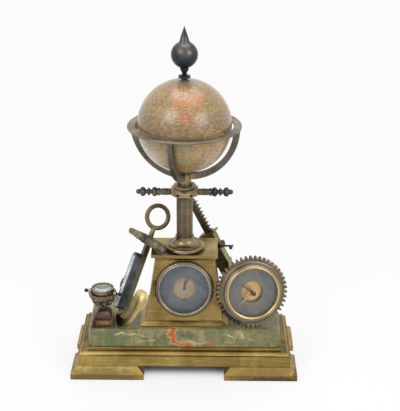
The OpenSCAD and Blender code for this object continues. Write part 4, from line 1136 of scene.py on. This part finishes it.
@dataclass
class Globe(Assembly):
    """The printed globe, with coarse outlines of the continents given as longitude and latitude in
    turn, and tints at longitudes and latitudes."""

    radius: float = 60.4
    wall: float = 2.0
    pole_hole: float = 3.06
    facing: float = -103.0
    columns: int = 288
    rows: int = 72
    shores: tuple[tuple[int, ...], ...] = (
        (-168, 66, -156, 71, -128, 70, -110, 68, -95, 69, -82, 68, -82, 63, -94, 59, -88, 56, -82,
        53, -79, 52, -78, 58, -77, 62, -68, 60, -64, 59, -56, 53, -60, 50, -66, 50, -64, 46, -70,
        43, -74, 40, -76, 35, -81, 31, -80, 26, -83, 29, -90, 30, -97, 27, -97, 21, -91, 18, -87,
        21, -88, 16, -83, 14, -83, 10, -78, 9, -82, 8, -87, 12, -94, 16, -105, 20, -109, 25, -114,
        31, -110, 23, -116, 30, -121, 35, -124, 42, -124, 48, -131, 54, -140, 60, -152, 59, -164,
        55, -158, 59, -165, 62), (-45, 60, -52, 66, -55, 70, -68, 76, -60, 82, -30, 83, -18, 78,
        -22, 70, -35, 66), (-65, 62, -62, 67, -72, 71, -88, 73, -82, 70, -76, 66), (-117, 69, -102,
        69, -105, 73, -118, 73), (-88, 76, -65, 82, -90, 81), (-78, 8, -72, 12, -62, 10, -51, 4,
        -44, -2, -35, -6, -39, -14, -41, -22, -48, -27, -53, -34, -58, -38, -65, -42, -67, -48, -69,
        -52, -74, -52, -73, -42, -71, -30, -70, -18, -77, -12, -81, -5, -80, 1), (-84, 22, -75, 20,
        -77, 22), (-73, 20, -69, 18, -72, 18), (-6, 35, 10, 37, 20, 32, 32, 31, 36, 22, 43, 12, 51,
        12, 45, 2, 40, -4, 40, -14, 35, -22, 31, -30, 20, -35, 16, -29, 12, -17, 9, -2, 9, 4, -4, 5,
        -13, 9, -17, 15, -16, 22, -10, 30), (-9, 43, -9, 37, -2, 37, 3, 42, 9, 44, 15, 38, 18, 40,
        13, 45, 20, 40, 24, 37, 28, 41, 36, 36, 34, 31, 43, 13, 52, 16, 59, 22, 50, 30, 61, 25, 67,
        24, 73, 18, 77, 8, 80, 15, 88, 22, 94, 16, 98, 9, 103, 1, 104, 10, 109, 12, 106, 20, 117,
        23, 122, 31, 119, 37, 126, 38, 129, 36, 129, 42, 140, 50, 140, 57, 155, 59, 157, 51, 163,
        58, 179, 64, 179, 69, 140, 73, 105, 77, 75, 72, 68, 68, 45, 67, 28, 71, 15, 69, 5, 61, 8,
        57, 12, 56, 8, 54, 2, 50, -4, 48, -1, 44), (-5, 50, 1, 52, -2, 58, -6, 56), (131, 32, 140,
        36, 142, 43, 137, 37), (114, -22, 122, -18, 130, -12, 137, -12, 141, -17, 143, -11, 146,
        -18, 153, -27, 150, -37, 140, -38, 131, -32, 116, -35), (131, -1, 141, -3, 150, -10, 139,
        -8), (109, 1, 117, 6, 117, -3, 110, -3), (95, 5, 105, -5, 100, 1), (44, -16, 50, -15, 47,
        -25, 44, -22), (173, -35, 178, -38, 168, -46, 173, -41), (-180, -73, -60, -66, 60, -67, 180,
        -73, 180, -90, -180, -90))
    tints: tuple[tuple[int, int, int], ...] = (
        (-152, 65, 0xD68E68), (-125, 62, 0xD0A086), (-100, 60, 0xDE9E82), (-108, 52, 0xE0926E),
        (-75, 54, 0xD67444), (-66, 56, 0xD67040), (-112, 43, 0xDE8452), (-95, 44, 0xDC8850),
        (-80, 40, 0xDA8C5C), (-118, 38, 0xCE845C), (-92, 34, 0xD68C5E), (-104, 27, 0xD07046),
        (-98, 20, 0xCE6C42), (-86, 13, 0xCA7A50), (-66, 5, 0xB88E48), (-50, -10, 0xBC8C46),
        (-65, -18, 0xAA8048), (-64, -36, 0xB88C60), (-42, 72, 0xCEA88C), (-85, 74, 0xD6A488),
        (-6, 28, 0xBE963E), (10, 10, 0xB6924C), (25, -15, 0xC4925A), (35, 25, 0xB08C50),
        (-4, 41, 0xCE9E6E), (10, 50, 0xC48C60), (30, 56, 0xB89256), (60, 60, 0xBE985C),
        (100, 62, 0xBA9254), (140, 66, 0xBE9650), (105, 35, 0xCC9E5C), (78, 22, 0xD08A68),
        (45, 28, 0xB69460), (134, -25, 0xCE8C68), (0, -80, 0xC4AA82))

    def extend(self) -> None:
        """Makes both halves of the printed globe."""
        centre = moved(0, 0, GLOBE_CENTRE)
        self.made["printed_globe"] = PrintedGlobe("printed_globe", centre.translation,
                                                  self.facing).make()
        hole = math.degrees(math.asin(self.pole_hole / self.radius))
        for half, south, north in (("north", 0, 90 - hole), ("south", hole - 90, 0)):
            rise = [math.radians(south + (north - south) * row / self.rows)
                    for row in range(self.rows + 1)]
            inner = self.radius - self.wall
            outline = [(self.radius * math.cos(angle), self.radius * math.sin(angle))
                       for angle in rise]
            outline += [(inner * math.cos(angle), inner * math.sin(angle)) for angle in rise[::-1]]
            mesh = revolved(outline, self.columns)
            self.draw(mesh)
            self.add(f"map_{half}", mesh, "printed_globe", f"globe_paper_{half}", centre, "globe",
                     stands_for=f"globe_{half}")

    def draw(self, mesh: Mesh) -> None:
        """Writes how far each vertex is inside land, in degrees, and its land's tint.

        Args:
            mesh: A hemisphere centred on zero.
        """
        spots = np.empty(len(mesh.vertices) * 3)
        mesh.vertices.foreach_get("co", spots)
        east, north, up = spots.reshape(-1, 3).T
        latitude = np.degrees(np.arctan2(up, np.hypot(east, north)))
        longitude = (np.degrees(np.arctan2(north, east)) + 270.0 + self.facing) % 360.0 - 180.0
        best = np.full(len(up), -30.0)
        for shore in self.shores:
            corners = tuple(zip(shore[::2], shore[1::2]))
            best = np.maximum(best, self.inside(longitude, latitude, corners))
        coast = mesh.attributes.new("coast", "FLOAT", "POINT")
        coast.data.foreach_set("value", best.astype(np.float32))
        away = [np.hypot((longitude - x) * np.cos(np.radians(y)), latitude - y) for x, y,
                _ in self.tints]
        palette = np.array([linear(code) for _, _, code in self.tints], dtype=np.float32)
        tint = mesh.attributes.new("tint", "FLOAT_COLOR", "POINT")
        tint.data.foreach_set("color", palette[np.argmin(away, axis=0)].reshape(-1))

    def inside(self, longitude: np.ndarray, latitude: np.ndarray, corners: Line) -> np.ndarray:
        """Signed distance in degrees to one outline, positive inside it.

        Args:
            longitude: Longitudes in degrees.
            latitude: Latitudes in degrees.
            corners: The outline's corners.

        Returns:
            One distance for each point.
        """
        squeeze = np.clip(np.cos(np.radians(latitude)), 0.2, 1.0)
        nearest = np.full(len(longitude), 1e9)
        within = np.zeros(len(longitude), dtype=bool)
        for (x0, y0), (x1, y1) in zip(corners, corners[1:] + corners[:1]):
            dx, dy = (x1 - x0) * squeeze, y1 - y0
            px, py = (longitude - x0) * squeeze, latitude - y0
            share = np.clip((px * dx + py * dy) / np.maximum(dx * dx + dy * dy, 1e-9), 0.0, 1.0)
            nearest = np.minimum(nearest, np.hypot(px - share * dx, py - share * dy))
            if y0 != y1:
                edge = (x1 - x0) * (latitude - y0) / (y1 - y0) + x0
                within ^= ((latitude < y1) != (latitude < y0)) & (longitude < edge)
        return np.where(within, nearest, -nearest)


@dataclass
class Anchor(Assembly):
    """The leaning anchor with its thermometer."""

    stock_half: float = 46.0
    stock_rows: int = 92
    stock_places: tuple[float, ...] = (-46, -44.8, -24, -5, 8, 44.4, 46)
    stock_radii: tuple[float, ...] = (3.2, 3.8, 5.3, 6.5, 6.5, 5.6, 4.5)
    end_radius: float = 0.4
    face: float = -13.0
    mercury: Line = ((0.2, 22.2), (0.55, 22.4), (0.55, 58), (0.2, 58.3))
    outfits: Outfits = (
        (AgedMetal("anchor_bronze", 0x847856, 0x544E3C, 0xB4A270, 80), "anchor_shank",
         "anchor_ring"),
        # palm_brass's blots darken the rear palm and the crown: painted shadow.
        (AgedMetal("palm_brass", 0xC0AC78, 0x847450, 0xDACA96, 60, 0.36, 0.8, stain=0.6,
                   blots=(((-0.0765, -0.003, 0.107), (0.021, 0.013, 0.023), 0x423E38),
                          ((-0.083, -0.04, 0.076), (0.014, 0.02, 0.009), 0x3E362E))),
         "anchor_palms", "anchor_arms"),
        (Plain("case_black", 0x54585A, 0x323438, 0.38, 0.75, 60), "thermometer_plate"),
        (ThinGlass("thermometer_glass", (0.97, 0.98, 0.98, 1), 0.8), "thermometer_tube"),
        (AgedMetal("bark_bronze", 0x968C74, 0x4A4439, 0xBAAE8E, 150, 0.46, 0.9, 0.0003, 0.9,
                   brush=(120, 120, 160)),),
        (Ink("scale_ink", 0xACB0B4, 0x9EA2A6, 0.3, 0.8),),
        (TarnishAndHighlight("scale_inlay_silver", 0xCED0D2, 0xACAEB2,
                 (ON_ANCHOR @ moved(0, face, 54)).translation, 0.04, 0.26, 0.7),),
        (Ink("mercury", 0xC4C6CC, 0xA4A6AC, 0.15, 1, depth=0.000002),))

    def extend(self) -> None:
        """Carves the stock, engraves the thermometer's scale and fills its tube."""
        limb = ON_ANCHOR @ moved(0, -3, 113) @ turned(14, "Z") @ turned(97.5, "Y")
        self.add("anchor_limb", self.stock(), "bark_bronze", "stock_bronze", limb,
                 stands_for="anchor_stock")
        inlay = boxes(((0, self.face - 0.03, 53), (10.4, 0.06, 70)))
        self.add("scale_inlay", inlay, "scale_inlay_silver", "scale_case", ON_ANCHOR, smooth=False)
        marks = []
        for index in range(21):
            length = 1 if index % 5 else 1.8
            for x in (-2.6 - length / 2, 2.6 + length / 2):
                marks.append(((x, self.face - 0.07, 27 + 2.8 * index), (length, 0.03, 0.14)))
        self.add("thermometer_marks", boxes(*marks), "scale_ink", "scale_case", ON_ANCHOR,
                 smooth=False)
        self.add("mercury_column", revolved(self.mercury, 16, False), "mercury",
                 "thermometer_glass", ON_ANCHOR @ moved(0, self.face - 1.6, 0))

    def stock(self) -> Mesh:
        """Carves the stock like a rough limb.

        Returns:
            The limb, along Z.
        """
        heights = [self.stock_half * (2 * row / self.stock_rows - 1)
                   for row in range(self.stock_rows + 1)]
        radii = np.interp(heights, self.stock_places, self.stock_radii)
        profile = [(float(radius), height * 0.995) for radius, height in zip(radii, heights)]
        ends = [(self.end_radius, side * self.stock_half) for side in (-1, 1)]
        return revolved([ends[0], *profile, ends[1]], 48, False, self.gnarl)

    def gnarl(self, angle: float, height: float, radius: float) -> float:
        """Roughens the stock with bark.

        Args:
            angle: The angle about the stock.
            height: The height along it.
            radius: Its smooth radius.

        Returns:
            The radius of the bark.
        """
        spot = Vector((math.cos(angle) * 1.9, math.sin(angle) * 1.9, height * 0.12))
        bark = 0.1 - 2.6 * abs(noise.noise(spot * 2.2)) + 0.9 * noise.noise(spot * 0.7)
        return radius + bark if radius > self.end_radius else radius


@dataclass
class Binnacle(Assembly):
    """The compass on its stand."""

    outfits: Outfits = (
        (AgedMetal("binnacle_bronze", 0x6E5C4A, 0x40342B, 0xA0825E, 110, 0.4, 0.85),
         "binnacle_stand"),
        (AgedMetal("cup_brass", 0x988670, 0x584D44, 0xCEBC9C, 130, 0.34, 0.95, stain=0.8),
         "binnacle_cup", "compass_bowl"),
        (Plain("pin_black", 0x363638, 0x222224, 0.3, 0.7), "gimbal_pins"),
        (TarnishAndHighlight("compass_silver", 0xD6D2C8, 0xB4B0A6, moved(*CUP_CENTRE).translation, 0.014, 0.4,
                 0.35), "compass_card"),
        (ThinGlass("compass_crystal", (0.93, 0.93, 0.91, 1), 0.9), "compass_glass"),
        (AgedMetal("panel_copper", 0x96785A, 0x6C543E, 0xBEA07C, 110, 0.36, 0.6),),
        (Ink("card_ink", 0x302E2E, 0x242222),))
    recess: float = -12.55
    petals: tuple[tuple[int, float, float, Point, float],
                  ...] = ((14, 16.4, -3, (3.6, 6.4, 6.4), 0),
                          (10, 13.2, -8.6, (4.6, 7.6, 9), 11.25), (8, 9.6, -14, (4.2, 6.4, 7.6), 0))

    def extend(self) -> None:
        """Adds the cup's rows of cast petals, the stand's coppery front and the card's marks."""
        rows = [RingArray(count, radius, size, Unit.BEAD, first, rise=rise) for count, radius, rise,
                size, first in self.petals]
        self.add("cup_lobes", joined(self.rings("cup_brass", *rows)), "cup_brass", "cup_brass",
                 IN_CUP)
        panel = boxes(((0, self.recess, 72.2), (16, 0.3, 5.2)))
        self.add("stand_panel", panel, "panel_copper", "binnacle_bronze",
                 moved(CUP_CENTRE[0], CUP_CENTRE[1], 0), smooth=False)
        ticks = self.rings("card_ink", RingArray(36, 10.6, (1.2, 0.14, 0.04), rise=2.12))
        letters = FigureRing(("N", "E", "S", "W"), 8.2, 2.2, 2.13, 90).meshes()
        self.add("card_points", joined(ticks + letters), "card_ink", "compass_silver", IN_CUP,
                 "card", smooth=False)


@dataclass
class BarometerWheel(Assembly):
    """The toothed wheel and the barometer in it."""

    # Colours by radius across the bezel and flange: the bright gold band at 33.8 mm is a painted
    # highlight.
    bezel_colours_and_highlight: Bands = ((31.5, 0x806A56), (32.6, 0xB8966C), (33.8, 0xE2CC9A), (35.4, 0xC4A472),
                      (36.5, 0x8C7660), (37.2, 0xAC9E8C), (38.6, 0x70645A), (40.2, 0x867A68),
                      (42, 0x7C7058))
    hub: Bands = ((0, 0x968264), (0.7, 0x342E2C), (4.2, 0x282422), (5.2, 0xD6AC70), (24, 0xDCBA82))
    flange: Line = ((32.2, 6), (32.3, 6.9), (32.8, 7.7), (33.6, 8.2), (34.4, 8.35), (35.2, 8.15),
                    (35.9, 7.6), (36.3, 6.9), (36.7, 6.3), (37.2, 6.55), (37.8, 6.3), (38.1, 5.6),
                    (38.1, 3.2), (38.4, 2.3), (39, 1.7), (39.8, 1.95), (40.6, 1.8), (41.5, 1.3),
                    (42.2, 0.6), (42.2, 0.02), (37.4, 0.02))
    face: float = 1.03
    first_division: float = -35.0
    outfits: Outfits = (
        # gear_brass's blot darkens the lower-left teeth: painted shadow.
        (AgedMetal("gear_brass", 0x84765C, 0x544A3C, 0xBAAA86, 75, 0.38, 0.95, stain=0.7,
                   blots=(((0.058, -0.04, 0.078), (0.022, 0.02, 0.03), 0x36302C),)), "gear_wheel"),
        (TurnedMetal("barometer_bezel_brass", 0x544842, ON_WHEEL, bezel_colours_and_highlight), "barometer_bezel"),
        (TurnedMetal("flange_brass", 0x544A44, ON_WHEEL, bezel_colours_and_highlight, 0.26),),
        (TarnishAndHighlight("barometer_silver", 0x887C6A, 0x6C686C, ON_WHEEL.translation, 0.033, 0.34, 0.7),
         "barometer_dial"),
        (TarnishAndHighlight("barometer_gilt", 0xEABA76, 0xD4A060, ON_WHEEL.translation, 0.018, 0.3, 0.8),
         "barometer_plate"),
        (TarnishAndHighlight("capsule_silver", 0xAAACAE, 0x888A8C, ON_WHEEL.translation, 0.02),
         "aneroid_capsule"),
        (Plain("pointer_steel", 0x6C5646, 0x42362E, 0.3, 0.9), "barometer_hand"),
        (TurnedMetal("set_gilt", 0x967A54, ON_WHEEL, hub), "set_hand"),
        (ThinGlass("barometer_crystal"), "barometer_glass"),
        (AgedMetal("case_brass", 0xAA9056, 0x866E3E, 0xCCB67C, 70, 0.34), "barometer_case"),
        (Ink("barometer_ink", 0x424448, 0x323438),))

    def extend(self) -> None:
        """Lays the bezel's outer moulding on the wheel and marks the barometer's dial."""
        self.add("bezel_flange", revolved(self.flange), "flange_brass", "bezel_brass", ON_WHEEL)
        figures = FigureRing(("26", "27", "28", "29", "30", "31"), 26.2, 3.6, self.face, 50, 215)
        marks = self.rings("barometer_ink", RingArray(101, 30.4, (0.9, 0.12, 0.05),
                                                      first=self.first_division, sweep=252.5,
                                                      rise=self.face),
                           RingArray(6, 30, (1.8, 0.3, 0.06), first=self.first_division, sweep=300,
                                     rise=self.face))
        self.add("barometer_figures", joined(figures.meshes() + marks), "barometer_ink",
                 "barometer_dial_silver", ON_WHEEL, smooth=False)


@dataclass
class RackJack(Assembly):
    """The leaning rack jack with its crank."""

    outfits: Outfits = (
        (AgedMetal("jack_bronze", 0xA29572, 0x6A5F49, 0xC4B48A, 70, 0.42, 0.8), "jack_case",
         "jack_top_plate"),
        (AgedMetal("rack_bronze", 0x6C624E, 0x443E32, 0xA49676, 110, 0.4, 0.9), "jack_rack"),
        (Plain("panel_black", 0x625A51, 0x443E37, 0.45, 0.6),),
        (Plain("pinion_steel", 0x767470, 0x52504E, 0.35, 1), "jack_pinion"),
        (Plain("crank_iron", 0x4E4C48, 0x2E2C2A, 0.38, 0.9), "jack_crank"))
    sheets: tuple[tuple[Point, Point], ...] = (
        ((-0.5, -6.08, 36), (17.4, 0.16, 45)),
        ((-0.5, -7.06, 61.2), (19.4, 0.12, 4.8)),
        ((-0.5, -6.08, 72), (17.4, 0.16, 16)))

    def extend(self) -> None:
        """Lays dark sheets on the jack's front."""
        self.add("jack_panel", boxes(*self.sheets), "panel_black", "jack_bronze", ON_JACK,
                 smooth=False)


@dataclass
class Studio:
    """Floor, soft lights, white surround and the photograph's camera."""

    eye: Point = (0.0305, -1.3316, 0.7595)
    right: Point = (0.9999, 0.0094, 0.0037)
    up: Point = (-0.0069, 0.3741, 0.9274)
    forward: Point = (-0.0073, 0.9273, -0.3742)
    film: float = 36.0
    focal_share: float = 1100.0 / 411.0
    corners: Line = ((-4, -3), (4, -3), (4, 5), (-4, 5))
    footprint: tuple[float, float] = (0.15, 0.0685)
    lamps: tuple[tuple[str, Point, float, float, float], ...] = (
        ("key_left", (-1.1, -1.3, 1.5), 0.2, 1.1, 13),
        ("fill_right", (1.3, -1.2, 1.2), 0.2, 1, 11),
        ("top_soft", (0.1, 0.3, 1.9), 0.1, 1.4, 14))

    def build(self) -> None:
        """Sets the studio up."""
        for step in (self.floor, self.lights, self.room, self.camera):
            step()
        bpy.context.scene.view_settings.view_transform = "Standard"

    def floor(self) -> None:
        """Lays a pale floor that keeps a soft shadow."""
        work = bmesh.new()
        work.faces.new([work.verts.new((x, y, 0)) for x, y in self.corners])
        floor = put("floor_plane", from_bmesh(work))
        shade = Shading("pale_floor")
        matte = shade.add("ShaderNodeBsdfDiffuse", (0.86, 0.86, 0.86, 1))
        glow = shade.add("ShaderNodeEmission", WHITE, 1)
        outside = [shade.maths("SUBTRACT", shade.maths("ABSOLUTE", side), half) for side,
                   half in zip(shade.axes(shade.here), self.footprint)]
        away = shade.maths("MAXIMUM", *outside)
        clear = shade.maths("ADD", shade.span(away, -0.03, -0.006, 0, 0.72),
                            shade.span(away, -0.006, 0.4, 0, 0.28))
        share = shade.times(shade.in_view(), clear)
        floor.data.materials.append(shade.end(shade.add("ShaderNodeMixShader", share, matte, glow)))

    def lights(self) -> None:
        """Hangs large soft lamps."""
        for name, spot, height, size, power in self.lamps:
            lamp = bpy.data.lights.new(name, "AREA")
            lamp.size = size
            lamp.energy = power
            holder = put(name, lamp)
            holder.location = spot
            aim = Vector((0, 0, height)) - Vector(spot)
            holder.rotation_euler = aim.to_track_quat("-Z", "Y").to_euler()

    def room(self) -> None:
        """Lights the room and shows it white."""
        world = bpy.data.worlds.new("white_room")
        world.use_nodes = True
        graph = Graph(world.node_tree)
        room = graph.add("ShaderNodeBackground", (0.97, 0.975, 1, 1), 0.72)
        white = graph.add("ShaderNodeBackground", WHITE)
        mix = graph.add("ShaderNodeMixShader", graph.in_view(), room, white)
        graph.add("ShaderNodeOutputWorld", mix)
        bpy.context.scene.world = world

    def camera(self) -> None:
        """Places the camera that the photograph's straight edges give."""
        data = bpy.data.cameras.new("photo_camera")
        data.sensor_width = self.film
        data.lens = self.focal_share * self.film
        data.clip_end = 20
        holder = put("photo_camera", data)
        spin = Matrix((self.right, self.up, -Vector(self.forward))).transposed().to_4x4()
        holder.matrix_world = Matrix.Translation(self.eye) @ spin
        bpy.context.scene.camera = holder


def main() -> None:
    """Builds and dresses every sub-assembly, then the studio."""
    logging.basicConfig(level=logging.INFO, format="%(name)s: %(message)s")
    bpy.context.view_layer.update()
    for assembly in (Stand(), Pedestal(), Clock(), Column(), Capstan(), Globe(), Anchor(),
                     Binnacle(), BarometerWheel(), RackJack(), Studio()):
        log.info("building %s", type(assembly).__name__)
        assembly.build()


if __name__ == "__main__":
    main()
